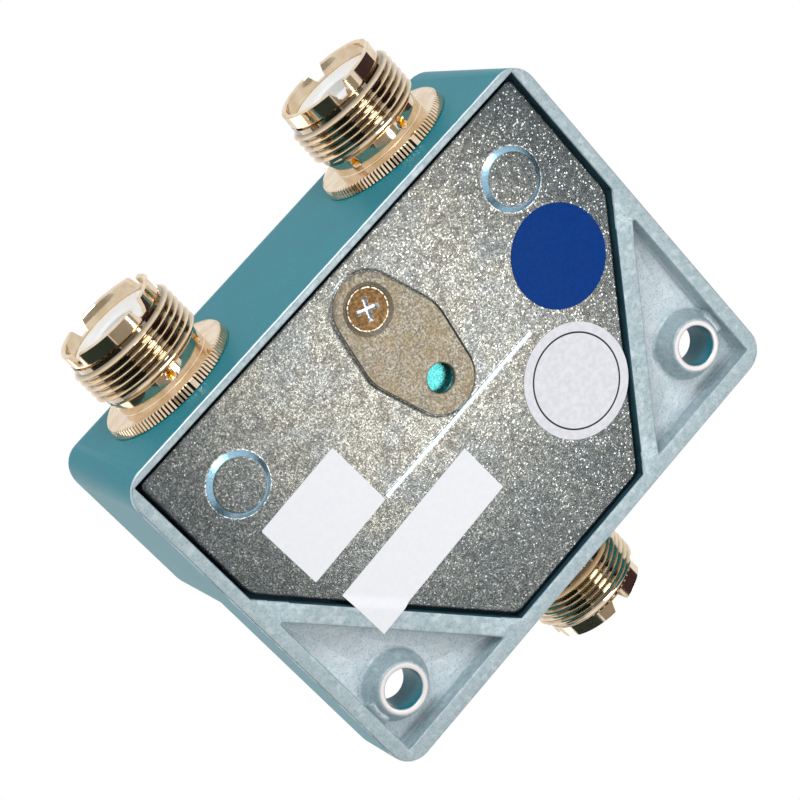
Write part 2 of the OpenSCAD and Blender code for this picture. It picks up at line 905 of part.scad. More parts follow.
module knob_pointer() {
    color([0.92, 0.92, 0.9])
        on_rotor()
            translate([-pointer_w / 2 + fit_gap, knob_r - 1.4 - pointer_length + fit_gap,
                knob_top_z - pointer_t])
                cube([pointer_w - 2 * fit_gap, pointer_length - 2 * fit_gap, pointer_t]);
}

module knob_set_screw() {
    color([0.2, 0.2, 0.21])
        on_rotor()
            translate([0, -shaft_flat - fit_gap, set_screw_z])
                rotate([90, 0, 0])
                    difference() {
                        cylinder(r = set_screw_r - fit_gap, h = set_screw_length);
                        translate([0, 0, set_screw_length - 2])
                            cylinder(r = set_screw_key_r, h = 2 + overshoot, $fn = 6);
                    }
}

// ---- Labels ----

module round_sticker(at, r) {
    translate([at.x, at.y, cover_depth - label_t])
        cylinder(r = r, h = label_t);
}

module square_sticker(at, size, turn, z) {
    translate([at.x, at.y, z])
        rotate([0, 0, turn])
            translate([-size.x / 2, -size.y / 2, 0])
                cube([size.x, size.y, label_t]);
}

module blue_label() {
    color([0.0, 0.25, 0.55])
        round_sticker(blue_label_at, blue_label_r);
}

module round_label() {
    color([0.9, 0.9, 0.93])
        round_sticker(round_label_at, round_label_r);
}

module wide_label() {
    color([0.9, 0.9, 0.93])
        square_sticker(wide_label_at, wide_label_size, label_turn, cover_depth - label_t);
}

// A band beside the cover's slanted edge, between two distances out from it
module slanted_band(inner, outer, z, t) {
    far = 2 * body_w;
    translate([0, 0, z])
        linear_extrude(t)
            polygon([[slant_x(-far, inner), -far], [slant_x(-far, outer), -far],
                [slant_x(far, outer), far], [slant_x(far, inner), far]]);
}

// The long label lies on the cover, and its corner is bent up over the gap
module long_label() {
    low_z = cover_depth - label_t;
    high_z = wall_strip_z - label_t;
    color([0.9, 0.9, 0.93]) {
        intersection() {
            square_sticker(long_label_at, long_label_size, label_turn, low_z);
            slanted_band(-2 * body_w, -label_fold, low_z, label_t);
        }
        intersection() {
            translate([0, 0, -1])
                scale([1, 1, 40])
                    square_sticker(long_label_at, long_label_size, label_turn, 0);
            hull() {
                slanted_band(-label_fold - 0.01, -label_fold, low_z, label_t);
                slanted_band(cover_gap, cover_gap + 0.01, high_z, label_t);
            }
        }
        intersection() {
            square_sticker(long_label_at, long_label_size, label_turn, high_z);
            slanted_band(cover_gap, diagonal_face + 2, high_z, label_t);
        }
    }
}

body_casting();
cover_plate();
oval_plate();
cover_screw();
front_plate();
antenna_1_shell();
antenna_1_insulator();
antenna_1_pin_socket();
antenna_1_strip();
antenna_2_shell();
antenna_2_insulator();
antenna_2_pin_socket();
antenna_2_strip();
common_shell();
common_insulator();
common_pin_socket();
common_strip();
ground_spring();
ground_spring_screw();
shaft_bushing();
bushing_washer();
bushing_nut();
shaft();
shaft_clip();
rotor_hub();
signal_blade();
blade_rivet();
ground_blade();
detent_plate();
detent_ball();
detent_spring();
knob();
knob_pointer();
knob_set_screw();
blue_label();
round_label();
wide_label();
long_label();
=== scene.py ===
# %% [markdown]
# # A coaxial antenna switch, seen from its back
#
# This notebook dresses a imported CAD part. The part is a two-way switch for radio aerials: a die-cast
# housing sprayed teal, with three plated screw sockets, and a bare cast cover let into its back.
# The CAD frame already has every size and every joint. What is added here is what a machinist's
# eye would look for: rounded edges, a knurl, a real helical thread, grain, wear and reflections.

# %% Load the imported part
import math

import bmesh
import bpy
from mathutils import Matrix, Quaternion, Vector


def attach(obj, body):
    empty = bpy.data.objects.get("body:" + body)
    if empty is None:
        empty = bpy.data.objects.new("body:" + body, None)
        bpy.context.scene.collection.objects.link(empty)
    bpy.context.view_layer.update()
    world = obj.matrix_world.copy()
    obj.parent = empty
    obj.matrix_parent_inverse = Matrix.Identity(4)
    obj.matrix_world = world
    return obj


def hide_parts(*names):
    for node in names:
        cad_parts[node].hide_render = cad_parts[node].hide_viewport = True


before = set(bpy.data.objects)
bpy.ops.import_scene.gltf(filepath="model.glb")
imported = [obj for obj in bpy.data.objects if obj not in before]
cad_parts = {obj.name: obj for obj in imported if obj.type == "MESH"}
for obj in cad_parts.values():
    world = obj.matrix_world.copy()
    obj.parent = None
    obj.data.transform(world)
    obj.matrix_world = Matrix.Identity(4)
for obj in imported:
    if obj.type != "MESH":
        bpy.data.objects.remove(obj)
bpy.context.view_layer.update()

# %% [markdown]
# ## Working in millimetres
#
# A switch like this is drawn in millimetres, but the frame is in metres. Each piece is therefore
# built in millimetres, which keeps the numbers readable, and shrunk once when it is finished.
# Its place stays in its mesh, so the object itself sits at the origin, unturned and unscaled.
# The housing is the same on its left and right, so places are given for the right half only.

# %% Sizes that several pieces share, in millimetres
MM = 0.001


def mirrored(right_half):
    """An outline that is the same on both sides, from the corners of its right half."""
    return right_half + [(-x, y) for x, y in reversed(right_half)]


BODY_HALF = Vector((36.5, 26.8))
EAR_DEPTH = 10.4
COVER_Z, COVER_BACK = 0.7, 2.7
COVER_X, COVER_TOP, COVER_LOW = 34.3, 25.3, -24.3
COVER_CORNERS = mirrored([(COVER_X, COVER_TOP), (COVER_X, 5.45), (12.2, COVER_LOW)])
SLANT_RUN = Vector(COVER_CORNERS[1]) - Vector(COVER_CORNERS[2])
SLANT_OUT = Vector((SLANT_RUN.y, -SLANT_RUN.x)).normalized()
SLANT_REACH = SLANT_OUT.dot(Vector(COVER_CORNERS[1]))
EAR_HOLE = Vector((29.5, -18.4))
SCREW_AT = Vector((-0.7, 18.95))
PLAIN_HOLE_AT, PLAIN_HOLE_R = Vector((-1.5, 5.7)), 2.4
FOOT_AT = Vector((25.7, 16.15))
RIB_Y = 0.45
SHAFT_AT = Vector((0, 3))


def past_slant(point):
    """How far a point lies outside the cover's slanted sides."""
    return SLANT_OUT.dot(Vector((abs(point.x), point.y))) - SLANT_REACH


def from_ear_hole(point):
    """How far a point lies from the middle of the ear hole on its side."""
    return (Vector((abs(point.x), point.y)) - EAR_HOLE).length


print("slanted side is", round(SLANT_REACH, 2), "mm from the centre")

# %% [markdown]
# ## Helpers for mesh work
#
# Most hard-surface pieces need the same few moves: find the edges to round, round them, and turn the
# bmesh into an object. `soften` rounds edges with the bevel operator, whose defaults differ from the
# editor's, so everything it needs is passed. `extrude_ring` carries a ring of edges on, and remembers
# which old point each new one came from. `finish_piece` merges doubles, makes faces point outwards,
# shrinks to metres and hands the object to the frame. A Weighted Normal modifier then keeps big flat
# faces flat next to small rounded edges, which matters a lot on polished metal.

# %% Mesh helpers
SAME_HEIGHT = 0.001
DOUBLES = 0.0005


def edges_where(bm, test, min_angle=25):
    """The edges that bend by more than min_angle degrees and pass the test at both ends."""
    bmesh.ops.recalc_face_normals(bm, faces=bm.faces)
    return [e for e in bm.edges if len(e.link_faces) == 2
            and e.calc_face_angle(0) > math.radians(min_angle) and all(test(v.co) for v in e.verts)]


def edges_at(bm, z, test=None, min_angle=25):
    """The edges at one height that bend by more than min_angle degrees."""
    return edges_where(bm, lambda p: abs(p.z - z) < SAME_HEIGHT and (test is None or test(p)), min_angle)


def soften(bm, edges, width, segments=3):
    """Rounds the edges by width."""
    if edges:
        bmesh.ops.bevel(bm, geom=edges, offset=width, offset_type="OFFSET", segments=segments,
                        profile=0.5, affect="EDGES", clamp_overlap=False, material=-1)


def finish_piece(bm, name, materials, nodes=(), body="housing", sharp=40, outwards=True,
                 weighted=True):
    """Makes the bmesh an object in the frame's metres, and says what it rides on and replaces."""
    bmesh.ops.remove_doubles(bm, verts=bm.verts, dist=DOUBLES)
    if outwards:
        bmesh.ops.recalc_face_normals(bm, faces=bm.faces)
    bmesh.ops.scale(bm, vec=(MM, MM, MM), verts=bm.verts)
    mesh = bpy.data.meshes.new(name)
    bm.to_mesh(mesh)
    bm.free()
    for polygon in mesh.polygons:
        polygon.use_smooth = True
    mesh.set_sharp_from_angle(angle=math.radians(sharp))
    for material in materials:
        mesh.materials.append(material)
    piece = bpy.data.objects.new(name, mesh)
    bpy.context.scene.collection.objects.link(piece)
    if weighted:
        modifier = piece.modifiers.new("flat faces stay flat", "WEIGHTED_NORMAL")
        modifier.keep_sharp = True
        modifier.weight = 100
    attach(piece, body)
    if nodes:
        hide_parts(*nodes)
    print(f"{name}: {len(mesh.polygons)} faces")
    return piece


def move(bm, verts, x=0, y=0, z=0):
    bmesh.ops.translate(bm, vec=(x, y, z), verts=verts)


def turn_flat(bm, degrees):
    """Turns the whole bmesh about the Z axis."""
    bmesh.ops.rotate(bm, verts=bm.verts, cent=(0, 0, 0),
                     matrix=Matrix.Rotation(math.radians(degrees), 3, "Z"))


def scale_about(bm, verts, at, factor):
    """Scales verts flatwise about a point."""
    bmesh.ops.scale(bm, vec=(factor, factor, 1), verts=verts,
                    space=Matrix.Translation((-at.x, -at.y, 0)))


def direction(degrees):
    return Vector((math.cos(math.radians(degrees)), math.sin(math.radians(degrees))))


def new_verts(made):
    return [g for g in made["geom"] if isinstance(g, bmesh.types.BMVert)]


def new_faces(made):
    return [g for g in made["geom"] if isinstance(g, bmesh.types.BMFace)]


def edges_of(verts):
    """All edges of the verts, each once and in order."""
    return list(dict.fromkeys(e for v in verts for e in v.link_edges))


def circle_edges(bm, at, radius, z, segments=64):
    """A ring of edges, to fill between or to start from."""
    made = bmesh.ops.create_circle(bm, cap_ends=False, radius=radius, segments=segments,
                                   matrix=Matrix.Translation((at[0], at[1], z)))
    return edges_of(made["verts"])


def corner_edges(bm, corners, z, radius=0.0, segments=6):
    """A closed outline through a few corners, with each corner rounded."""
    face = bm.faces.new([bm.verts.new((x, y, z)) for x, y in corners])
    if radius:
        made = bmesh.ops.bevel(bm, geom=list(face.verts), offset=radius, offset_type="OFFSET",
                               segments=segments, profile=0.5, affect="VERTICES",
                               clamp_overlap=False, material=-1)
        rounded = set(made["verts"])
        face = next(f for f in bm.faces if rounded & set(f.verts))
    edges = list(face.edges)
    bmesh.ops.delete(bm, geom=[face], context="FACES_ONLY")
    return edges


def fill_between(bm, edges):
    """A flat face between an outline and the holes in it."""
    made = bmesh.ops.triangle_fill(bm, use_beauty=True, use_dissolve=False, edges=edges)
    return new_faces(made)


def thicken(bm, faces, z):
    """Gives flat faces a wall and a second side, and returns the second side's faces."""
    made = bmesh.ops.extrude_face_region(bm, geom=faces)
    move(bm, new_verts(made), z=z)
    return new_faces(made)


def extrude_ring(bm, edges, carried):
    """Extrudes edges. Each new point gets what carried says of the old point that it came from."""
    made = bmesh.ops.extrude_edge_only(bm, edges=edges)
    fresh = {}
    for v in new_verts(made):
        old = next(e.other_vert(v) for e in v.link_edges if e.other_vert(v) in carried)
        fresh[v] = carried[old]
    new_edges = [g for g in made["geom"] if isinstance(g, bmesh.types.BMEdge)
                 and all(v in fresh for v in g.verts)]
    return new_edges, fresh


print("helpers ready")

# %% [markdown]
# ## Groups that several finishes use
#
# Real metal is never one even colour. Five effects come back in the finishes below, so each is a node
# group with its own inputs: **specks** gives grains that are lighter or darker than their neighbours,
# **facets** tilts the surface a little from grain to grain so that it sparkles, **blotches** is a slow
# change over the whole surface, **worn edges** finds the convex edges by comparing the surface with a
# slightly rounded copy of itself, and **from spot** gives the distance from a place on the back, for
# marks that belong to one hole or foot. They read Object coordinates, which are metres here, so a
# scale of 5000 makes grains of about 0.2 mm. The helpers `above` and `below` take millimetres.

# %% Node helpers
def linear(red, green, blue):
    """A colour given as 0 to 255 screen values, as the linear colour that a shader wants."""
    def one(value):
        value /= 255
        return value / 12.92 if value <= 0.04045 else ((value + 0.055) / 1.055) ** 2.4
    return (one(red), one(green), one(blue), 1)


def add_node(tree, kind, **settings):
    node = tree.nodes.new("ShaderNode" + kind)
    for name, value in settings.items():
        setattr(node, name, value)
    return node


def feed(tree, value, socket):
    """Sets a socket to a number or a colour, or links it to another node's output."""
    if isinstance(value, (int, float, tuple)):
        socket.default_value = value
    else:
        tree.links.new(value, socket)


def object_point(tree):
    return add_node(tree, "TexCoord").outputs["Object"]


def object_axes(tree):
    """The point's X, Y and Z, in metres."""
    axes = add_node(tree, "SeparateXYZ")
    feed(tree, object_point(tree), axes.inputs[0])
    return axes.outputs[0], axes.outputs[1], axes.outputs[2]


def surface_normal(tree):
    return add_node(tree, "NewGeometry").outputs["Normal"]


def noise(tree, scale, detail=2, roughness=0.5, distortion=0):
    node = add_node(tree, "TexNoise", noise_dimensions="3D")
    feed(tree, object_point(tree), node.inputs["Vector"])
    for label, value in (("Scale", scale), ("Detail", detail), ("Roughness", roughness),
                         ("Distortion", distortion)):
        feed(tree, value, node.inputs[label])
    return node.outputs["Fac"]


def math_node(tree, operation, a, b=None):
    node = add_node(tree, "Math", operation=operation)
    feed(tree, a, node.inputs[0])
    if b is not None:
        feed(tree, b, node.inputs[1])
    return node.outputs[0]


def vector_node(tree, operation, a, b=None):
    node = add_node(tree, "VectorMath", operation=operation)
    feed(tree, a, node.inputs[0])
    if b is not None:
        feed(tree, b, node.inputs[1])
    return node.outputs["Value" if operation in ("DOT_PRODUCT", "DISTANCE") else "Vector"]


def remap(tree, value, low, high, to_low=0.0, to_high=1.0):
    """Stretches a value from low..high to to_low..to_high, with soft ends."""
    node = add_node(tree, "MapRange", interpolation_type="SMOOTHSTEP", clamp=True)
    for label, number in (("Value", value), ("From Min", low), ("From Max", high),
                          ("To Min", to_low), ("To Max", to_high)):
        feed(tree, number, node.inputs[label])
    return node.outputs["Result"]


def above(tree, value, start, end, most=1.0):
    """A mask that rises from 0 to its most between two distances in millimetres."""
    return remap(tree, value, start * MM, end * MM, 0.0, most)


def below(tree, value, start, end, most=1.0):
    """A mask that falls from its most to 0 between two distances in millimetres."""
    return remap(tree, value, start * MM, end * MM, most, 0.0)


def both(tree, a, b):
    """A mask of what two masks share."""
    return math_node(tree, "MULTIPLY", a, b)


def either(tree, a, b):
    """A mask of what one mask or the other has."""
    return math_node(tree, "MAXIMUM", a, b)


def mix_colours(tree, factor, a, b):
    node = add_node(tree, "Mix", data_type="RGBA")
    for index, value in ((0, factor), (6, a), (7, b)):
        feed(tree, value, node.inputs[index])
    return node.outputs[2]


def lay(tree, colour, mask, *screen_values):
    """Lays another colour over a colour, as far as the mask says."""
    return mix_colours(tree, mask, colour, linear(*screen_values))


def mix_shaders(tree, factor, a, b):
    node = add_node(tree, "MixShader")
    for index, value in enumerate((factor, a, b)):
        feed(tree, value, node.inputs[index])
    return node.outputs[0]


print("node helpers ready")

# %% Node groups
CLUMP_SCALE = 0.22


def make_group(name, inputs, outputs):
    """An empty group, with what it is given and what it gives."""
    group = bpy.data.node_groups.new(name, "ShaderNodeTree")
    for label, default in inputs.items():
        socket = group.interface.new_socket(label, in_out="INPUT", socket_type="NodeSocketFloat")
        socket.default_value = default
    for label, kind in outputs.items():
        group.interface.new_socket(label, in_out="OUTPUT", socket_type="NodeSocket" + kind)
    return group, group.nodes.new("NodeGroupInput").outputs, group.nodes.new("NodeGroupOutput").inputs


def build_specks():
    group, given, gives = make_group("specks", {"Scale": 5000, "Softness": 0.5},
                                     {"Grains": "Float", "Clumps": "Float"})
    feed(group, noise(group, given["Scale"], 3, given["Softness"]), gives["Grains"])
    coarse = math_node(group, "MULTIPLY", given["Scale"], CLUMP_SCALE)
    feed(group, noise(group, coarse), gives["Clumps"])
    return group


def build_from_spot():
    """The distance in the cover's plane from a spot, the same on the left and the right half."""
    group, given, gives = make_group("from_spot", {"X": 0.02, "Y": 0.0}, {"Distance": "Float"})
    x, y, _ = object_axes(group)
    off_x = math_node(group, "SUBTRACT", math_node(group, "ABSOLUTE", x), given["X"])
    off_y = math_node(group, "SUBTRACT", y, given["Y"])
    squares = [math_node(group, "MULTIPLY", off, off) for off in (off_x, off_y)]
    feed(group, math_node(group, "SQRT", math_node(group, "ADD", *squares)), gives["Distance"])
    return group


def build_facets():
    group, given, gives = make_group("facets", {"Scale": 5000, "Tilt": 0.3},
                                     {"Normal": "Vector", "Cells": "Float"})
    cells = add_node(group, "TexVoronoi", voronoi_dimensions="3D", feature="F1")
    feed(group, object_point(group), cells.inputs["Vector"])
    feed(group, given["Scale"], cells.inputs["Scale"])
    centred = vector_node(group, "SUBTRACT", cells.outputs["Color"], (0.5, 0.5, 0.5))
    tilted = vector_node(group, "MULTIPLY", centred, given["Tilt"])
    leaning = vector_node(group, "ADD", surface_normal(group), tilted)
    feed(group, vector_node(group, "NORMALIZE", leaning), gives["Normal"])
    split = add_node(group, "SeparateColor")
    feed(group, cells.outputs["Color"], split.inputs[0])
    feed(group, split.outputs[0], gives["Cells"])
    return group


def build_blotches():
    group, given, gives = make_group("blotches", {"Scale": 120, "Contrast": 1.0}, {"Value": "Float"})
    clouds = noise(group, given["Scale"], 5, 0.6, 0.4)
    scaled = math_node(group, "MULTIPLY", math_node(group, "SUBTRACT", clouds, 0.5), given["Contrast"])
    feed(group, math_node(group, "ADD", scaled, 0.5), gives["Value"])
    return group


def build_worn_edges():
    group, given, gives = make_group("worn_edges", {"Width": 0.0003, "Breakup": 1500}, {"Mask": "Float"})
    rounded = add_node(group, "Bevel", samples=4)
    feed(group, given["Width"], rounded.inputs["Radius"])
    turn = vector_node(group, "DOT_PRODUCT", rounded.outputs["Normal"], surface_normal(group))
    edge = remap(group, math_node(group, "SUBTRACT", 1.0, turn), 0.01, 0.12)
    patchy = remap(group, noise(group, given["Breakup"]), 0.35, 0.6)
    feed(group, both(group, edge, patchy), gives["Mask"])
    return group


SPECKS = build_specks()
FACETS = build_facets()
FROM_SPOT = build_from_spot()
BLOTCHES = build_blotches()
WORN_EDGES = build_worn_edges()
print("groups:", [g.name for g in (SPECKS, FACETS, FROM_SPOT, BLOTCHES, WORN_EDGES)])


# %% Material helpers
def place(tree, group, **values):
    """Places a group in a material with its own values, and returns its outputs."""
    node = tree.nodes.new("ShaderNodeGroup")
    node.node_tree = group
    for name, value in values.items():
        node.inputs[name].default_value = value
    return node.outputs


def blotches(tree, scale, contrast):
    return place(tree, BLOTCHES, Scale=scale, Contrast=contrast)["Value"]


def worn_edges(tree, width, breakup):
    """The mask of worn edges, with a width in millimetres."""
    return place(tree, WORN_EDGES, Width=width * MM, Breakup=breakup)["Mask"]


def distance_from(tree, at):
    """The distance from a place on the back, or from its mirror image."""
    return place(tree, FROM_SPOT, X=abs(at.x) * MM, Y=at.y * MM)["Distance"]


def painted(tree, name):
    """What is painted on the mesh as an attribute."""
    return add_node(tree, "Attribute", attribute_name=name).outputs["Fac"]


def new_material(name, metallic, roughness, **shader_values):
    """A material with one Principled shader. What is the same all over is set on its own sockets."""
    material = bpy.data.materials.new(name)
    material.use_nodes = True
    tree = material.node_tree
    tree.nodes.clear()
    shader = add_node(tree, "BsdfPrincipled")
    shader.inputs["Metallic"].default_value = metallic
    shader.inputs["Roughness"].default_value = roughness
    for label, value in shader_values.items():
        shader.inputs[label.replace("_", " ")].default_value = value
    feed(tree, shader.outputs[0], add_node(tree, "OutputMaterial").inputs["Surface"])
    return material, tree, shader


def set_looks(tree, shader, colour, roughness, metallic=None):
    for label, value in (("Base Color", colour), ("Roughness", roughness), ("Metallic", metallic)):
        if value is not None:
            feed(tree, value, shader.inputs[label])


def bump_into(tree, shader, height, strength, depth, normal=None):
    """Bump of some depth in millimetres, over a normal if one is given."""
    bump = add_node(tree, "Bump")
    feed(tree, strength, bump.inputs["Strength"])
    feed(tree, depth * MM, bump.inputs["Distance"])
    feed(tree, height, bump.inputs["Height"])
    if normal is not None:
        feed(tree, normal, bump.inputs["Normal"])
    feed(tree, bump.outputs["Normal"], shader.inputs["Normal"])


print("material helpers ready")

# %% [markdown]
# ## Teal spray paint
#
# The housing is sprayed with a satin teal. Up close the paint is a little grainy, like most spray
# finishes on cast metal, so a fine noise moves its colour and its height. The spray was wiped off the
# back rim, so within about 0.2 mm of the rim the bare metal shows with a wavy boundary. That boundary
# is the height above the rim plus noise, pushed through a steep step.

# %% Teal paint
TEAL = linear(24, 144, 158)
TEAL_DEEP = linear(4, 120, 136)
CAST_PALE = linear(186, 198, 202)
CAST_MID = linear(156, 178, 185)
RIM_WAVE = 0.22


def teal_paint():
    material, tree, shader = new_material("teal_paint", 0.0, 0.36, Specular_IOR_Level=0.16)
    fine = place(tree, SPECKS, Scale=4200, Softness=0.6)
    paint = mix_colours(tree, remap(tree, fine["Grains"], 0.35, 0.68), TEAL_DEEP, TEAL)
    slow = remap(tree, blotches(tree, 90, 1.3), 0.3, 0.8, 0.0, 0.35)
    paint = mix_colours(tree, slow, paint, TEAL_DEEP)
    wave = remap(tree, blotches(tree, 420, 1.0), 0, 1, -RIM_WAVE * MM, RIM_WAVE * MM)
    wiped = below(tree, math_node(tree, "ADD", object_axes(tree)[2], wave), 0.16, 0.28)
    chipped = math_node(tree, "MULTIPLY", worn_edges(tree, 0.4, 900), 0.12)
    bare = either(tree, wiped, chipped)
    set_looks(tree, shader, mix_colours(tree, bare, paint, CAST_PALE),
              remap(tree, fine["Grains"], 0.3, 0.7, 0.34, 0.46), remap(tree, bare, 0, 1, 0.0, 0.85))
    bump_into(tree, shader, fine["Grains"], 0.22, 0.06)
    return material


TEAL_PAINT = teal_paint()
print("made", TEAL_PAINT.name)

# %% [markdown]
# ## Bare cast rim, pockets and inside
#
# The rim and the pockets behind the ears are as-cast zinc: a cool grey skin, smooth but cloudy, with
# darker and paler specks and brighter rubbed edges. The height above the rim tells the pockets' floors
# from the rim, because the floors are paler and less metallic. Each boss has a painted highlight, a
# bright lip round its hole, found by the distance from the hole. The walls inside the housing get a
# finish of their own, a darker grey with painted shade near the cover, so that the gap round the cover
# reads as a dark line.

# %% Bare casting
def bare_casting():
    material, tree, shader = new_material("bare_casting", 0.25, 0.42, Specular_IOR_Level=0.3)
    fine = place(tree, SPECKS, Scale=3400, Softness=0.7)
    cloud = remap(tree, blotches(tree, 1000, 1.1), 0.2, 0.8)
    z = object_axes(tree)[2]
    on_floor = above(tree, z, 2.4, 3.0)
    rim = mix_colours(tree, cloud, CAST_MID, CAST_PALE)
    floor = mix_colours(tree, cloud, linear(196, 210, 217), linear(218, 226, 230))
    colour = mix_colours(tree, on_floor, rim, floor)
    colour = lay(tree, colour, remap(tree, fine["Grains"], 0.36, 0.5, 0.35, 0.0), 92, 124, 134)
    colour = lay(tree, colour, remap(tree, fine["Clumps"], 0.55, 0.7, 0.0, 0.4), 210, 222, 226)
    colour = lay(tree, colour, worn_edges(tree, 0.3, 1400), 240, 246, 248)
    # Painted highlight: a bright lip round each boss's hole.
    lip = both(tree, below(tree, distance_from(tree, EAR_HOLE), 3.1, 3.4), below(tree, z, 0.2, 0.5))
    colour = lay(tree, colour, lip, 240, 232, 230)
    set_looks(tree, shader, colour, remap(tree, cloud, 0, 1, 0.52, 0.38),
              remap(tree, on_floor, 0, 1, 0.25, 0.04))
    bump_into(tree, shader, fine["Grains"], 0.3, 0.05)
    return material


def cavity_skin():
    material, tree, shader = new_material("cavity_skin", 0.2, 0.6)
    fine = place(tree, SPECKS, Scale=2600, Softness=0.6)
    skin = mix_colours(tree, fine["Grains"], linear(96, 108, 112), linear(140, 150, 154))
    # Painted shade: within 4 to 6 mm of the rim the inside walls turn dark, so the gap round the cover reads
    # as a dark line.
    grime = mix_colours(tree, fine["Clumps"], linear(20, 44, 56), linear(48, 92, 106))
    near_cover = below(tree, object_axes(tree)[2], 4, 6)
    set_looks(tree, shader, mix_colours(tree, near_cover, skin, grime),
              remap(tree, fine["Grains"], 0.3, 0.7, 0.5, 0.7))
    bump_into(tree, shader, fine["Grains"], 0.2, 0.05)
    return material


BARE_CASTING, CAVITY_SKIN = bare_casting(), cavity_skin()
print("made", BARE_CASTING.name, "and", CAVITY_SKIN.name)

# %% [markdown]
# ## Blasted cover
#
# The cover is the same zinc, tumbled or blasted after casting. Its skin is thousands of tiny dents
# that each catch the light on their own, which reads as a grey salt-and-pepper sparkle. A bump map
# alone would blur into an even grey, so the facets group tilts each 0.2 mm grain, and the specks
# group makes some grains paler and some darker. A few of the tilted grains are painted near white as
# painted glints. The middle is warm and bright, and a painted shade makes the cover darker and bluer
# towards its sides and its narrow end. The feet's flanks and the rib carry a painted highlight, bluer
# and brighter than the rest. What lies deeper than the top face is painted dark as painted shade, and
# a trace of the housing's teal shows in the plain hole.

# %% Blasted zinc
FOOT_R = 4.3
RIB_WIDTH = 0.56
DIMPLE_Z = 1.4


def dull_mask(tree, x, y):
    """Where the cover gets painted shade: at its sides, at its narrow end, and a little along its wide end.
    """
    side = above(tree, math_node(tree, "ABSOLUTE", x), 12, 33, 0.72)
    narrow_end = below(tree, y, -15, 2, 0.62)
    wide_end = above(tree, y, 21, 26, 0.2)
    return either(tree, side, either(tree, narrow_end, wide_end))


def blasted_zinc():
    material, tree, shader = new_material("blasted_zinc", 0.92, 0.3)
    fine = place(tree, SPECKS, Scale=3800, Softness=0.8)
    facets = place(tree, FACETS, Scale=5600, Tilt=0.12)
    x, y, z = object_axes(tree)
    grain = remap(tree, fine["Grains"], 0.4, 0.62)
    colour = mix_colours(tree, grain, linear(98, 98, 92), linear(152, 151, 142))
    colour = lay(tree, colour, remap(tree, fine["Clumps"], 0.46, 0.64, 0.0, 0.65), 88, 84, 78)
    colour = lay(tree, colour, remap(tree, blotches(tree, 140, 1.6), 0.35, 0.85, 0.0, 0.45), 96, 106, 114)
    # Painted shade: the cover is laid darker and bluer towards its sides and ends, so that its middle looks
    # lit.
    colour = lay(tree, colour, dull_mask(tree, x, y), 58, 68, 74)
    # Painted glints: the brightest few facet cells are laid near white.
    colour = lay(tree, colour, remap(tree, facets["Cells"], 0.9, 0.99, 0.0, 0.5), 252, 252, 250)
    # Painted highlight: the feet's flanks are laid bluer and brighter.
    flank = both(tree, below(tree, z, 0.65, 0.7), above(tree, z, 0.1, 0.16))
    by_foot = below(tree, distance_from(tree, FOOT_AT), FOOT_R + 0.2, FOOT_R + 0.5)
    colour = lay(tree, colour, both(tree, flank, by_foot), 150, 188, 208)
    # Painted highlight: the rib's top is laid pale and bluish.
    off_rib = math_node(tree, "ABSOLUTE", math_node(tree, "SUBTRACT", y, RIB_Y * MM))
    on_rib = both(tree, below(tree, off_rib, 0.6, 0.7), below(tree, z, 0.64, 0.68))
    colour = lay(tree, colour, on_rib, 214, 234, 240)
    # Painted shade: what lies deeper than the top face is laid dark; the plain hole's teal trace lies within
    # it.
    hidden = above(tree, z, 0.9, 1.2)
    colour = lay(tree, colour, hidden, 24, 34, 42)
    dimple_at = tuple(Vector((*PLAIN_HOLE_AT, DIMPLE_Z)) * MM)
    off_dimple = vector_node(tree, "DISTANCE", object_point(tree), dimple_at)
    colour = lay(tree, colour, both(tree, below(tree, off_dimple, 2.7, 3.0), hidden), 74, 158, 158)
    colour = lay(tree, colour, worn_edges(tree, 0.3, 2500), 240, 244, 246)
    set_looks(tree, shader, colour, remap(tree, grain, 0, 1, 0.34, 0.24))
    bump_into(tree, shader, fine["Grains"], 0.4, 0.08, facets["Normal"])
    return material


BLASTED_ZINC = blasted_zinc()
print("made", BLASTED_ZINC.name)

# %% [markdown]
# ## Passivated steel: the oval plate and its screw
#
# Zinc-plated steel is dipped in a passivating bath that leaves a thin yellow-brown film. On the
# stamped plate it is faint and patchy, a brownish beige over a fine pickled grain. On the screw it is
# strong, so the head looks bronze, and its recess is bright where the driver rubbed it.

# %% Passivated steels
def passivated(name, dark, light, patch, rough, grain_scale, metal, tilt):
    material, tree, shader = new_material(name, metal, rough)
    fine = place(tree, SPECKS, Scale=grain_scale, Softness=0.7)
    facets = place(tree, FACETS, Scale=grain_scale * 1.3, Tilt=tilt)
    colour = mix_colours(tree, remap(tree, fine["Grains"], 0.35, 0.68), linear(*dark), linear(*light))
    colour = lay(tree, colour, remap(tree, blotches(tree, 330, 1.8), 0.3, 0.75, 0.0, 0.6), *patch)
    colour = lay(tree, colour, worn_edges(tree, 0.2, 3000), 238, 226, 204)
    set_looks(tree, shader, colour, remap(tree, fine["Grains"], 0.3, 0.7, rough + 0.08, rough - 0.06))
    bump_into(tree, shader, fine["Grains"], 0.25, 0.04, facets["Normal"])
    return material


WARM_PLATE = passivated("warm_plated_steel", (106, 99, 86), (150, 144, 132), (124, 110, 82),
                        rough=0.4, grain_scale=4200, metal=0.75, tilt=0.14)
BRONZED = passivated("bronzed_steel", (76, 58, 34), (96, 74, 46), (84, 62, 36),
                     rough=0.34, grain_scale=2600, metal=0.9, tilt=0.06)
print("made", WARM_PLATE.name, "and", BRONZED.name)
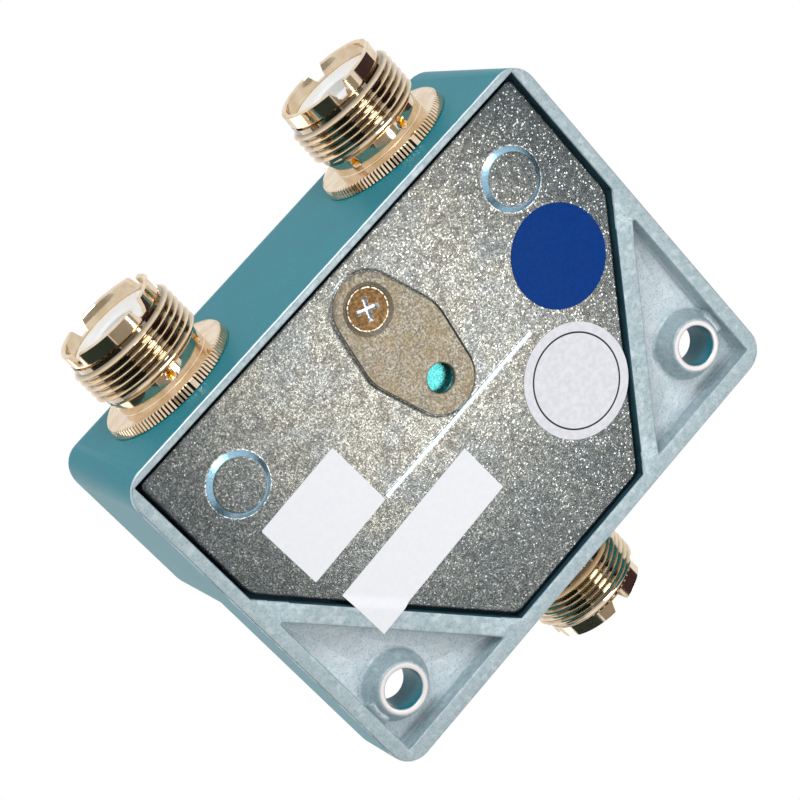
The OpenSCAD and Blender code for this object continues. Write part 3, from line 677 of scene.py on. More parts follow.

# %% [markdown]
# ## Warm nickel
#
# The socket shells are turned brass with a polished, slightly warm nickel plating. It is a mirror, so
# almost all of its look comes from what it reflects. The material adds only what breaks that mirror:
# a slow change of tint and haze, a trace of bump, the brassy colour of the punch marks where the
# plating is thin, and a painted shade in the roots of the knurl and the thread. The last two are
# painted on the mesh as attributes named stake and grime.

# %% Warm nickel
def warm_nickel():
    material, tree, shader = new_material("warm_nickel", 1.0, 0.1)
    slow = blotches(tree, 500, 1.2)
    fine = place(tree, SPECKS, Scale=6000, Softness=0.5)
    colour = mix_colours(tree, remap(tree, slow, 0.3, 0.8), linear(232, 214, 190), linear(214, 190, 155))
    colour = lay(tree, colour, painted(tree, "stake"), 214, 138, 16)
    # Painted shade: the roots of the knurl and the thread are laid dark, as marked on the mesh.
    colour = lay(tree, colour, painted(tree, "grime"), 28, 38, 38)
    set_looks(tree, shader, colour, remap(tree, slow, 0.2, 0.9, 0.05, 0.13))
    bump_into(tree, shader, fine["Grains"], 0.06, 0.02)
    return material


NICKEL = warm_nickel()
print("made", NICKEL.name)

# %% [markdown]
# ## Plastics, films and the metals inside
#
# The rest are simpler: smooth white fluoropolymer in the sockets, black moulded plastic on the knob,
# films on the cover, and the silvered, brass, bronze and zinc-plated pieces inside. One builder makes
# them all: a base colour moved a little by fine and slow noise, roughness that varies with it, and a
# small bump.

# %% Simple finishes
def plain_finish(name, dark, light, metallic, smooth, rough, scale, bump=0.1, wear=None, **values):
    material, tree, shader = new_material(name, metallic, smooth, **values)
    fine = place(tree, SPECKS, Scale=scale, Softness=0.55)
    slow = blotches(tree, scale * 0.1, 1.3)
    halves = [math_node(tree, "MULTIPLY", half, 0.5)
              for half in (remap(tree, fine["Grains"], 0.3, 0.7), slow)]
    colour = mix_colours(tree, math_node(tree, "ADD", *halves), linear(*dark), linear(*light))
    if wear:
        colour = lay(tree, colour, worn_edges(tree, 0.2, 2000), *wear)
    set_looks(tree, shader, colour, remap(tree, slow, 0.2, 0.8, smooth, rough))
    bump_into(tree, shader, fine["Grains"], bump, 0.05)
    return material


WHITE_PTFE = plain_finish("white_ptfe", (248, 248, 246), (254, 254, 252), 0, 0.3, 0.42, 1500)
SILVERED = plain_finish("silvered_brass", (206, 202, 190), (232, 230, 222), 1, 0.14, 0.3, 2500)
SPRING_BRONZE = plain_finish("spring_bronze", (182, 130, 84), (208, 158, 108), 1, 0.24, 0.4, 2200)
BRASS = plain_finish("plain_brass", (186, 150, 84), (212, 180, 112), 1, 0.2, 0.36, 2200)
ZINC_STEEL = plain_finish("zinc_steel", (176, 180, 186), (208, 212, 218), 1, 0.24, 0.42, 2400)
BRIGHT_STEEL = plain_finish("bright_steel", (194, 197, 202), (222, 224, 228), 1, 0.08, 0.2, 2400)
BLACK_STEEL = plain_finish("black_steel", (30, 30, 33), (58, 58, 62), 0.7, 0.3, 0.48, 2600,
                           wear=(130, 130, 134))
WHITE_ACETAL = plain_finish("white_acetal", (228, 226, 218), (240, 239, 232), 0, 0.4, 0.52, 1600)
BLACK_PLASTIC = plain_finish("black_plastic", (24, 24, 26), (38, 38, 41), 0, 0.36, 0.5, 1900, 0.35,
                             wear=(74, 74, 78))
WHITE_PAINT = plain_finish("white_paint", (226, 226, 222), (244, 244, 240), 0, 0.38, 0.5, 1800)
BLACK_PLATE = plain_finish("black_plate", (26, 27, 29), (42, 43, 46), 0, 0.38, 0.52, 2600, 0.3,
                           wear=(120, 122, 126))
BLUE_FILM = plain_finish("blue_film", (0, 50, 122), (0, 62, 140), 0, 0.38, 0.5, 2600, 0.2,
                         Specular_IOR_Level=0.06)
WHITE_FILM = plain_finish("white_film", (240, 240, 244), (246, 246, 249), 0, 0.38, 0.5, 1400,
                          Specular_IOR_Level=0.2)
print("made 13 simple finishes")

# %% The round sticker's film has a plain printed ring
ROUND_STICKER_AT = Vector((-14.4, -8.9))
RING_R = 6.25


def ringed_film():
    """White film with one thin black ring: a narrow band of distances from its centre."""
    material, tree, shader = new_material("ringed_film", 0.0, 0.4, Specular_IOR_Level=0.2)
    fine = place(tree, SPECKS, Scale=1400, Softness=0.5)
    film = mix_colours(tree, remap(tree, fine["Grains"], 0.3, 0.7), linear(222, 221, 227),
                       linear(234, 233, 238))
    off_ring = math_node(tree, "SUBTRACT", distance_from(tree, ROUND_STICKER_AT), RING_R * MM)
    ring = below(tree, math_node(tree, "ABSOLUTE", off_ring), 0.09, 0.14)
    set_looks(tree, shader, lay(tree, film, ring, 22, 22, 26),
              remap(tree, fine["Clumps"], 0.2, 0.8, 0.36, 0.5))
    bump_into(tree, shader, fine["Grains"], 0.1, 0.05)
    return material


RINGED_FILM = ringed_film()
print("made", RINGED_FILM.name)

# %% [markdown]
# ## The metals inside keep their CAD shapes
#
# Blades, strips, springs and the parts under the knob are already right as the CAD has them. They only
# need their finish, which goes into each object's material slots. Nothing else of them is touched.

# %% Give the CAD nodes their finishes
INNER_FINISHES = {
    SILVERED: ["antenna_1_pin_socket", "antenna_2_pin_socket", "common_pin_socket", "antenna_1_strip",
               "antenna_2_strip", "common_strip", "signal_blade"],
    SPRING_BRONZE: ["ground_spring", "ground_blade"],
    BRASS: ["blade_rivet", "shaft_bushing"],
    ZINC_STEEL: ["ground_spring_screw", "bushing_washer", "bushing_nut", "detent_plate"],
    BRIGHT_STEEL: ["shaft", "detent_ball", "detent_spring"],
    BLACK_STEEL: ["shaft_clip", "knob_set_screw"],
    WHITE_ACETAL: ["rotor_hub"],
}
for finish, names in INNER_FINISHES.items():
    for name in names:
        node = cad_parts[name]
        node.data.materials.clear()
        node.data.materials.append(finish)
print("finished", sum(len(n) for n in INNER_FINISHES.values()), "CAD nodes")

# %% [markdown]
# ## The housing casting
#
# The housing is the hardest shape here: a block over a wider slab, a cavity, two pockets with bosses,
# and holes through most faces. It could be cut from boxes with booleans, but the CAD node already has
# exactly that shape. So a copy of it is merged, and only what a casting has and the CAD doesn't is
# added. The flat back faces are taken off, the open wall tops are rolled inwards over a quarter
# circle, and what is left open is filled again. The tops of the slanted walls dip a little between
# their ends. Each face then gets one of three finishes: paint outside, a dark skin in the cavity, and
# bare metal on the rim and in the pockets.

# %% Where the casting is painted, and where its walls dip
HOLE_WALL_R = 2.75
WASHER_R, WASHER_Z = 5.7, 5.8
FRONT_WALL_Z = 25.2
CORNER_AT, CORNER_R = Vector((33.1, 23.4)), 2.9
WALL_DIP, WALL_THICK, DIP_FADE = 0.2, 3.4, 2.5


def eased(value):
    """A soft step from 0 to 1."""
    value = min(1, max(0, value))
    return value * value * (3 - 2 * value)


def inside_cover(point, out=0.0):
    """True inside the six-sided outline of the cover, moved outwards by out."""
    return (abs(point.x) < COVER_X + out and COVER_LOW - out < point.y < COVER_TOP + out
            and past_slant(point) < out)


def is_painted(centre, normal):
    """True on the faces that the spray reached."""
    off_hole = from_ear_hole(centre)
    if off_hole < HOLE_WALL_R or (off_hole < WASHER_R and centre.z > WASHER_Z):
        return True
    if centre.z > EAR_DEPTH - 0.9:
        return not inside_cover(centre) or centre.z > FRONT_WALL_Z
    here = Vector((abs(centre.x), abs(centre.y)))
    off_corner = here - CORNER_AT
    if min(off_corner) > 0:
        near_outside = off_corner.length > CORNER_R
    else:
        near_outside = max(here - BODY_HALF) > -0.5
    return near_outside and normal.z > -0.8


def wall_dip(point):
    """How far the top of a slanted wall lies below the rim, fading out towards its ends."""
    if not -0.2 < past_slant(point) < WALL_THICK:
        return 0
    from_end = min(COVER_X - abs(point.x), point.y - COVER_LOW)
    return WALL_DIP * eased(from_end / DIP_FADE)


def edge_middle(edge):
    return (edge.verts[0].co + edge.verts[1].co) / 2


print("walls dip by", WALL_DIP, "mm")

# %% Casting
RIM_ROLL, ROLL_STEPS = 0.25, 3
CAD_DOUBLES = 0.003


def round_over(bm, loop_edges, width, segments):
    """Rolls the open tops of walls inwards over a quarter circle, and returns the last edges."""
    verts = {v for e in loop_edges for v in e.verts}
    push, ground = {}, {}
    for v in verts:
        normals = [e.link_faces[0].normal.xy.normalized() for e in v.link_edges if e.is_boundary]
        middle = sum(normals, Vector((0, 0))).normalized()
        push[v] = -middle / max(0.5, middle.dot(normals[0]))
        ground[v] = (v.co.copy(), wall_dip(v.co))
        v.co.z = ground[v][1] + width
    edges, source = loop_edges, {v: v for v in verts}
    for i in range(1, segments + 1):
        turn = math.radians(90 * i / segments)
        edges, source = extrude_ring(bm, edges, source)
        for v, first in source.items():
            start, dip = ground[first]
            v.co.xy = start.xy + push[first] * width * (1 - math.cos(turn))
            v.co.z = dip + width * (1 - math.sin(turn))
    return edges


def add_points_along_slants(bm):
    """Splits the long edges beside the slanted walls, so that their tops can dip smoothly."""
    long_edges = [e for e in bm.edges if e.is_boundary and e.calc_length() > 8
                  and wall_dip(edge_middle(e)) > WALL_DIP / 2]
    bmesh.ops.subdivide_edges(bm, edges=long_edges, cuts=24, use_grid_fill=False)


def border_socket_wall(bm):
    """Gives the wall between the sockets a border. Without it, long slivers shade as creases."""
    wall = [f for f in bm.faces if f.normal.y > 0.999 and f.calc_center_median().y > BODY_HALF.y - 0.01]
    bmesh.ops.inset_region(bm, faces=wall, thickness=0.5, use_boundary=True, use_even_offset=True)


def build_casting():
    bm = bmesh.new()
    bm.from_mesh(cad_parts["body_casting"].data)
    bmesh.ops.scale(bm, vec=(1000, 1000, 1000), verts=bm.verts)
    bmesh.ops.remove_doubles(bm, verts=bm.verts, dist=CAD_DOUBLES)
    border_socket_wall(bm)
    tops = [f for f in bm.faces if all(v.co.z < WALL_DIP + 0.01 for v in f.verts)]
    bmesh.ops.delete(bm, geom=tops, context="FACES")
    add_points_along_slants(bm)
    bm.normal_update()
    open_edges = [e for e in bm.edges if e.is_boundary]
    last = round_over(bm, open_edges, RIM_ROLL, ROLL_STEPS)
    print("rolled", len(open_edges), "edges of the rim inwards")

    def by_boss(edge):
        return from_ear_hole(edge_middle(edge)) < 4 and abs(edge_middle(edge).z) < 0.05

    for side in (-1, 1):
        fill_between(bm, [e for e in last if by_boss(e) and e.verts[0].co.x * side > 0])
    fill_between(bm, [e for e in last if not by_boss(e)])
    bm.normal_update()
    for face in bm.faces:
        centre = face.calc_center_median()
        in_cavity = centre.z > RIM_ROLL + 0.01 and inside_cover(centre, 0.6)
        face.material_index = 0 if is_painted(centre, face.normal) else 2 if in_cavity else 1
    return bm


finish_piece(build_casting(), "housing_casting", [TEAL_PAINT, BARE_CASTING, CAVITY_SKIN],
             ["body_casting"], sharp=35, outwards=False)

# %% [markdown]
# ## The cover
#
# The cover is a flat six-sided casting with two round feet, a thin raised rib and a low pad that the
# oval plate lies on. Its outline is six corners, rounded with a vertex bevel. The two holes are
# circles inside that outline, and one fill closes the space between them. Extruding that face gives
# the plate, and an edge bevel gives the bright rolled edge that casting and tumbling leave. The pad is
# a stack of oval outlines, bridged into one soft step. The hull of three discs makes each oval.

# %% Cover
FOOT_H, FOOT_TOP_R, FOOT_TOP_Z = 0.7, 3.5, 0.1
RIB_LENGTH, RIB_TOP_Z, RIB_H = 28, 0.4, 0.5
PAD_STEPS = ((-0.3, 0.32), (0.02, 0.32), (0.08, 0.38), (0.26, 0.66), (0.4, 0.71))


def oval_outline(bm, grow, z):
    """The edge of a plate with round ends and bulging sides, as the hull of three discs."""
    verts = []
    for centre, radius in ((SCREW_AT, 4.7), (PLAIN_HOLE_AT, 4.7), ((SCREW_AT + PLAIN_HOLE_AT) / 2, 6.3)):
        made = bmesh.ops.create_cone(bm, cap_ends=True, segments=48, radius1=radius + grow,
                                     radius2=radius + grow, depth=1,
                                     matrix=Matrix.Translation((centre.x, centre.y, z + 0.5)))
        verts += made["verts"]
    hull = bmesh.ops.convex_hull(bm, input=verts)
    leftovers = {g for g in hull["geom_interior"] if isinstance(g, bmesh.types.BMVert)}
    leftovers |= {v for v in verts if v.is_valid and v.co.z > z + 0.5}
    bmesh.ops.delete(bm, geom=[v for v in leftovers if v.is_valid], context="VERTS")
    kept = [v for v in verts if v.is_valid]
    edges = edges_of(kept)
    border = [e for e in edges if e.is_boundary]
    bmesh.ops.delete(bm, geom=list({f for v in kept for f in v.link_faces}), context="FACES_ONLY")
    bmesh.ops.delete(bm, geom=[e for e in edges if e not in border], context="EDGES")
    return border


def build_cover():
    bm = bmesh.new()
    outline = corner_edges(bm, COVER_CORNERS, COVER_Z, 0.9)
    holes = circle_edges(bm, SCREW_AT, 1.7, COVER_Z) + circle_edges(bm, PLAIN_HOLE_AT, PLAIN_HOLE_R, COVER_Z)
    thicken(bm, fill_between(bm, outline + holes), COVER_BACK - COVER_Z)
    soften(bm, edges_at(bm, COVER_Z, lambda p: not inside_cover(p, -1.5)), 0.35, 4)
    return bm


def add_cover_details(bm):
    for side in (-1, 1):
        bmesh.ops.create_cone(bm, cap_ends=True, segments=64, radius1=FOOT_TOP_R, radius2=FOOT_R,
                              depth=FOOT_H, matrix=Matrix.Translation(
                                  (side * FOOT_AT.x, FOOT_AT.y, FOOT_TOP_Z + FOOT_H / 2)))
    soften(bm, edges_at(bm, FOOT_TOP_Z, min_angle=20), 0.18, 3)
    rib = bmesh.ops.create_cube(bm, size=1)
    bmesh.ops.scale(bm, vec=(RIB_LENGTH, RIB_WIDTH, RIB_H), verts=rib["verts"])
    move(bm, rib["verts"], -0.1, RIB_Y, RIB_TOP_Z + RIB_H / 2)
    soften(bm, edges_at(bm, RIB_TOP_Z), 0.16, 3)
    floor = circle_edges(bm, PLAIN_HOLE_AT, PLAIN_HOLE_R, COVER_Z + 1.2)
    bmesh.ops.holes_fill(bm, edges=floor, sides=0)
    loops = [oval_outline(bm, grow, z) for grow, z in PAD_STEPS]
    for low, high in zip(loops, loops[1:]):
        bmesh.ops.bridge_loops(bm, edges=low + high)
    return bm


finish_piece(add_cover_details(build_cover()), "cover_casting", [BLASTED_ZINC], ["cover_plate"])

# %% [markdown]
# ## The oval plate
#
# A stamped plate with a countersunk hole for the screw and one plain hole. Its outline is the same
# hull of three discs. A punch leaves a soft edge on one side, so the side that shows is rounded. The
# countersink is the back of the wider hole, drawn in.

# %% Oval plate
PLATE_Z, PLATE_THICK = 0.1, 0.6
SINK_R = 3.4


def near_screw(point, reach):
    return (point.xy - SCREW_AT).length < reach


def build_oval_plate():
    bm = bmesh.new()
    holes = circle_edges(bm, SCREW_AT, SINK_R, PLATE_Z) + circle_edges(bm, PLAIN_HOLE_AT, 1.9, PLATE_Z, 48)
    outline = oval_outline(bm, 0, PLATE_Z)
    thicken(bm, fill_between(bm, outline + holes), PLATE_THICK)
    narrow = [v for v in bm.verts if abs(v.co.z - PLATE_Z - PLATE_THICK) < SAME_HEIGHT
              and near_screw(v.co, SINK_R + 0.2)]
    scale_about(bm, narrow, SCREW_AT, 0.55)
    soften(bm, edges_at(bm, PLATE_Z, lambda p: not near_screw(p, SINK_R + 0.2), 30), 0.16, 3)
    soften(bm, edges_at(bm, PLATE_Z, lambda p: near_screw(p, SINK_R + 0.2), 20), 0.08, 2)
    return bm


finish_piece(build_oval_plate(), "stamped_oval_plate", [WARM_PLATE], ["oval_plate"])

# %% [markdown]
# ## The cover screw
#
# A countersunk screw with a cross recess. The head is a cone with a soft rim. For the recess, a
# twelve-cornered cross is filled round, pushed down and tapered, which is how the punch that makes a
# real recess works. The driver has rubbed the recess bright.

# %% Cover screw
HEAD_Z, HEAD_R, HEAD_H = 0.25, 2.85, 0.44
CROSS_REACH, CROSS_HALF, CROSS_TURN, CROSS_DEPTH = 1.6, 0.26, 24, 0.85
SHANK_R, SHANK_LENGTH, SHANK_MIDDLE_Z = 1.48, 8.2, 4.9


def cross_corners(reach, half, turn):
    """The twelve corners of a cross, turned by some degrees."""
    arm = [(reach, -half), (reach, half), (half, half)]
    return [tuple(Matrix.Rotation(math.radians(turn + quarter), 2) @ Vector(corner) + SCREW_AT)
            for quarter in (0, 90, 180, 270) for corner in arm]


def build_screw():
    bm = bmesh.new()
    rim = circle_edges(bm, SCREW_AT, HEAD_R, HEAD_Z, 72)
    cross = corner_edges(bm, cross_corners(CROSS_REACH, CROSS_HALF, CROSS_TURN), HEAD_Z)
    fill_between(bm, rim + cross)
    floor = new_verts(bmesh.ops.extrude_edge_only(bm, edges=cross))
    move(bm, floor, z=CROSS_DEPTH)
    scale_about(bm, floor, SCREW_AT, 0.62)
    open_floor = [e for e in edges_of(floor) if all(v in floor for v in e.verts)]
    bmesh.ops.holes_fill(bm, edges=open_floor, sides=0)
    cone = new_verts(bmesh.ops.extrude_edge_only(bm, edges=rim))
    move(bm, cone, z=HEAD_H)
    scale_about(bm, cone, SCREW_AT, 0.53)
    soften(bm, edges_at(bm, HEAD_Z, lambda p: not near_screw(p, 2)), 0.1, 3)
    soften(bm, edges_at(bm, HEAD_Z, lambda p: near_screw(p, 2)), 0.06, 2)
    bmesh.ops.create_cone(bm, cap_ends=True, segments=32, radius1=SHANK_R, radius2=SHANK_R,
                          depth=SHANK_LENGTH, matrix=Matrix.Translation((*SCREW_AT, SHANK_MIDDLE_Z)))
    for face in bm.faces:
        centre = face.calc_center_median()
        in_recess = HEAD_Z + 0.02 < centre.z < HEAD_Z + CROSS_DEPTH + 0.2 and near_screw(centre, 1.62)
        face.material_index = 1 if in_recess else 0
    return bm


finish_piece(build_screw(), "cover_screw_head", [BRONZED, ZINC_STEEL], ["cover_screw"])

# %% [markdown]
# ## The sockets
#
# Each socket is a turned shell: a knurled flange, a short neck, six turns of 24-to-the-inch thread and
# a crown with four notches that keep the plug from turning. All are built once along +Z and then
# swung onto the casting. The plain turned parts are a profile spun round the axis. The thread is a
# small V spun with a step along the axis, so it is a true helix. The knurl is a ring of alternating
# radii extruded into teeth that taper towards the plug, so that they catch light from the side. The
# crown is a ring whose teeth are extruded between the notches. Attributes on the points say where the
# painted shade in the knurl's and the thread's roots and the punch marks are.

# %% Socket building blocks
FLANGE_R, FLANGE_T = 9.7, 1.4
KNURL_TEETH, TOOTH_DEPTH = 108, 0.34
NECK_R, NECK_END = 6.9, 3.7
TAIL_R, TAIL_BORE, TAIL_END = 6.48, 5.0, -4.2
ROOT_R, CREST_R, PITCH, TURNS = 7.3, 7.94, 1.058, 6
THREAD_END = NECK_END + TURNS * PITCH
CROWN_R, CROWN_BORE, CROWN_END = 7.2, 6.45, 12.1
NOTCH_DEPTH, NOTCH_W = 1.7, 2.6
THREAD_GRIME = 0.62


def spun(bm, profile, steps=96):
    """A turned shape: a line of points (radius, height) spun once round Z."""
    verts = [bm.verts.new((r, 0, z)) for r, z in profile]
    edges = [bm.edges.new(pair) for pair in zip(verts, verts[1:])]
    bmesh.ops.spin(bm, geom=verts + edges, cent=(0, 0, 0), axis=(0, 0, 1), dvec=(0, 0, 0),
                   angle=2 * math.pi, steps=steps, use_merge=True, use_duplicate=False)


def add_neck(bm):
    """The plain turned parts. The neck has many rings, so that a punch mark has points to move."""
    neck = [(NECK_R, 1.9 + 0.25 * ring) for ring in range(6)]
    spun(bm, [(TAIL_BORE, TAIL_END), (TAIL_R, TAIL_END), (TAIL_R, 0.1)])
    spun(bm, [(NECK_R + 0.1, FLANGE_T), (NECK_R, FLANGE_T + 0.1), *neck, (NECK_R, 3.45),
              (NECK_R + 0.2, NECK_END), (ROOT_R, NECK_END + 0.1), (ROOT_R, THREAD_END - 0.15),
              (CROWN_R - 0.3, THREAD_END - 0.02), (CROWN_R - 0.3, THREAD_END + 0.12),
              (CROWN_R, THREAD_END + 0.2)], 192)
    spun(bm, [(CROWN_BORE, THREAD_END), (CROWN_BORE, 3.0), (TAIL_BORE, 3.0), (TAIL_BORE, TAIL_END)])


def add_knurl(bm):
    """The flange: one ring of teeth, carried up its edge with a taper and in over both faces."""
    grime = bm.verts.layers.float.new("grime")
    ring = bmesh.ops.create_circle(bm, cap_ends=False, radius=FLANGE_R, segments=4 * KNURL_TEETH)["verts"]
    first_edges, is_tooth = edges_of(ring), {v: i % 4 != 3 for i, v in enumerate(ring)}

    def put(v, radius, height):
        v.co = Vector((v.co.x, v.co.y, 0)).normalized() * radius + Vector((0, 0, height))

    def set_ring(verts, height, inset):
        for v, tooth in verts.items():
            put(v, FLANGE_R - inset - (0 if tooth else TOOTH_DEPTH), height)
            # Painted shade: the gaps between the knurl's teeth, away from its two faces, are marked dark.
            v[grime] = 0 if tooth or height in (0, FLANGE_T) else 1

    def close_face(edges, verts, radius, height):
        for v in extrude_ring(bm, edges, verts)[1]:
            put(v, radius, height)

    edges, level = first_edges, is_tooth
    set_ring(level, 0.12, 0)
    for height, inset in ((FLANGE_T - 0.14, 0.22), (FLANGE_T, 0.36)):
        edges, level = extrude_ring(bm, edges, level)
        set_ring(level, height, inset)
    close_face(edges, level, NECK_R + 0.05, FLANGE_T)
    edges, level = extrude_ring(bm, first_edges, is_tooth)
    set_ring(level, 0, 0.16)
    close_face(edges, level, 6.3, 0)


def add_thread(bm):
    """A V-shaped ridge spun up the shell as a helix, fading in and out at its ends."""
    steps = 72 * TURNS
    foot_r, start_z, rise = ROOT_R - 0.05, NECK_END + 0.32, (TURNS * PITCH - 0.62) / steps
    flank = [(foot_r, -0.47), (ROOT_R + 0.1, -0.34), (CREST_R - 0.12, -0.11)]
    ridge = flank + [(CREST_R, 0)] + [(r, -z) for r, z in reversed(flank)]
    verts = [bm.verts.new((r, 0, start_z + z)) for r, z in ridge]
    edges = [bm.edges.new(pair) for pair in zip(verts, verts[1:])]
    before = len(bm.verts)
    bmesh.ops.spin(bm, geom=verts + edges, cent=(0, 0, 0), axis=(0, 0, 1), dvec=(0, 0, rise),
                   angle=2 * math.pi * TURNS, steps=steps, use_merge=False, use_duplicate=False)
    bm.verts.ensure_lookup_table()
    for i, v in enumerate(verts + list(bm.verts[before:])):
        turn = (i // len(ridge)) / steps * TURNS
        fade = min(1, turn * 2.5, (TURNS - turn) * 2.5)
        radius = v.co.xy.length
        v.co.xy *= (foot_r + (radius - foot_r) * fade) / radius
    # Painted shade: the thread's root is marked partly dark.
    grime = bm.verts.layers.float["grime"]
    for v in bm.verts:
        if NECK_END < v.co.z < THREAD_END and ROOT_R - 0.1 < v.co.xy.length < ROOT_R + 0.15:
            v[grime] = THREAD_GRIME


def add_crown(bm, turn, steps=144):
    """The notched crown: a ring, with four teeth extruded between the notches in three levels."""
    low = CROWN_END - NOTCH_DEPTH
    before = set(bm.faces)
    ring = [(CROWN_BORE, THREAD_END), (CROWN_BORE, low), (CROWN_R, low), (CROWN_R, THREAD_END + 0.2)]
    spun(bm, ring, steps)
    narrow = math.degrees(NOTCH_W / 4 / CROWN_R)
    wide = math.degrees(NOTCH_W / 2 / CROWN_R)
    half_step = 180 / steps

    def from_notch(point):
        """Degrees from the middle of the nearest notch, with its sign."""
        return (math.degrees(math.atan2(point.y, point.x)) - turn + 45) % 90 - 45

    region = [f for f in bm.faces if f not in before and abs(f.calc_center_median().z - low) < SAME_HEIGHT
              and abs(from_notch(f.calc_center_median())) > narrow]
    last_edge = narrow
    for height, outer, inner in ((0.5, 0, 0), (NOTCH_DEPTH - 0.16, 0, 0), (NOTCH_DEPTH, 0.18, 0.12)):
        made = bmesh.ops.extrude_face_region(bm, geom=region)
        region = new_faces(made)
        edge = narrow + (wide - narrow) * height / NOTCH_DEPTH
        for v in new_verts(made):
            v.co.z = low + height
            off = from_notch(v.co)
            if abs(off) < max(edge, last_edge + half_step + 0.05):
                v.co = Matrix.Rotation(math.radians(math.copysign(edge, off) - off), 3, "Z") @ v.co
            radius = v.co.xy.length
            v.co.xy *= (CROWN_R - outer if radius > 6.8 else CROWN_BORE + inner) / radius
        last_edge = edge


def punch_stakes(bm, stakes, depth=0.45):
    """Pushes round punch marks into the neck, and paints them in the attribute named stake."""
    layer = bm.verts.layers.float.new("stake")
    neck = [v for v in bm.verts if abs(v.co.xy.length - NECK_R) < 0.15 and FLANGE_T < v.co.z < NECK_END]
    for angle, height, radius in stakes:
        outwards = direction(angle).to_3d()
        centre = outwards * NECK_R + Vector((0, 0, height))
        for v in neck:
            far = (v.co - centre).length / radius
            if far < 1:
                v.co -= outwards * depth * (1 - far * far)
                v[layer] = 1.0 if far < 0.85 else 0.6


print("thread from", NECK_END, "to", round(THREAD_END, 2), "mm")

# %% Build the three shells
SOCKET_Z = 14.2
SOCKETS = {
    "antenna_1": (-20.6, 1, -14, [(103.8, 2.65, 0.6), (35.3, 2.75, 0.6), (215, 2.7, 0.6)]),
    "antenna_2": (20.6, 1, 21, [(86.7, 2.75, 0.6), (141.7, 2.7, 0.6), (-2.6, 2.6, 0.55)]),
    "common": (0, -1, 0, [(60, 2.7, 0.55), (180, 2.7, 0.55), (300, 2.7, 0.55)]),
}


def stand_on_casting(bm, x, side):
    """Swings +Z onto the casting's side, as the CAD does."""
    bmesh.ops.transform(bm, verts=bm.verts, matrix=Matrix.Translation((x, side * BODY_HALF.y, SOCKET_Z))
                        @ Matrix.Rotation(math.radians(-90 * side), 4, "X"))
    return bm


def build_shell(crown_turn, stakes):
    bm = bmesh.new()
    add_neck(bm)
    add_knurl(bm)
    add_thread(bm)
    add_crown(bm, crown_turn)
    bmesh.ops.remove_doubles(bm, verts=bm.verts, dist=DOUBLES)
    punch_stakes(bm, stakes)
    return bm


for name, (x, side, crown_turn, stakes) in SOCKETS.items():
    finish_piece(stand_on_casting(build_shell(crown_turn, stakes), x, side), name + "_plated_shell",
                 [NICKEL], [name + "_shell"], sharp=28)

# %% [markdown]
# ## The insulators
#
# Behind each crown is a turned white insulator with a hole for the centre contact. It is a profile
# spun round the axis, with small chamfers where the lathe broke the edges and a shallow dished face.

# %% Insulators
INSULATOR_PROFILE = [(2.75, -5.8), (2.95, -6.0), (4.98, -6.0), (4.98, 3.02), (6.43, 3.02), (6.43, 10.05),
                     (6.25, 10.25), (5.2, 10.3), (3.5, 10.3), (3.3, 10.2), (3.0, 10.15), (2.75, 9.9),
                     (2.75, -5.8)]
for name, (x, side, crown_turn, stakes) in SOCKETS.items():
    insulator = bmesh.new()
    spun(insulator, INSULATOR_PROFILE, 72)
    finish_piece(stand_on_casting(insulator, x, side), name + "_turned_insulator", [WHITE_PTFE],
                 [name + "_insulator"])

# %% [markdown]
# ## The stickers
#
# Four stickers lie on the cover: a blue disc, a white disc, and two white rectangles. Their marks are
# left off, so each is a clean film in its own colour and place. A film is 0.1 mm thick with a soft cut
# edge. The long one bends over the gap beside the cover, so it is a fine grid whose points are lifted
# between the two heights.

# %% Stickers
FILM_Z, FILM_T, FILM_TURN = 0.6, 0.1, -1.4
FOLD_H, FOLD_START, FOLD_RUN = 0.5, -0.9, 1.35


def cut_film(bm, outline):
    thicken(bm, fill_between(bm, outline), FILM_T)
    soften(bm, edges_at(bm, FILM_Z), 0.04, 2)
    return bm


def disc_sticker(at, radius):
    bm = bmesh.new()
    return cut_film(bm, circle_edges(bm, at, radius, FILM_Z, 96))


def square_sticker(at, size):
    bm = bmesh.new()
    half = (size[0] / 2, size[1] / 2)
    corners = [(half[0], -half[1]), half, (-half[0], half[1]), (-half[0], -half[1])]
    cut_film(bm, corner_edges(bm, corners, FILM_Z, 0.25, 4))
    turn_flat(bm, FILM_TURN)
    move(bm, bm.verts, *at)
    return bm


def folded_sticker(at, size):
    """A grid that lies on the cover, and climbs to the lowered wall beside it."""
    bm = bmesh.new()
    grid = bmesh.ops.create_grid(bm, x_segments=120, y_segments=40, size=0.5)
    bmesh.ops.scale(bm, vec=(*size, 1), verts=grid["verts"])
    turn_flat(bm, FILM_TURN)
    move(bm, bm.verts, *at, FILM_Z)
    for v in bm.verts:
        v.co.z = FILM_Z - FOLD_H * eased((past_slant(v.co) - FOLD_START) / FOLD_RUN)
    thicken(bm, list(bm.faces), FILM_T)
    return bm


finish_piece(disc_sticker((-23.7, 4.4), 6.8), "blue_disc_sticker", [BLUE_FILM], ["blue_label"])
finish_piece(disc_sticker(ROUND_STICKER_AT, 7.6), "white_disc_sticker", [RINGED_FILM], ["round_label"])
finish_piece(square_sticker((21, 5.1), (13.5, 9.9)), "wide_sticker", [WHITE_FILM], ["wide_label"])
finish_piece(folded_sticker((14.35, -7.3), (24.1, 7.55)), "long_sticker", [WHITE_FILM], ["long_label"],
             weighted=False)

# %% [markdown]
# ## The front plate
#
# The photo doesn't show the front. A switch like this has a thin painted plate under the knob's nut,
# with a number at each knob position. The plate's outline is the block's, moved in by 3 mm, with
# rounded corners and edges. The numbers and the short ticks are thin raised print.

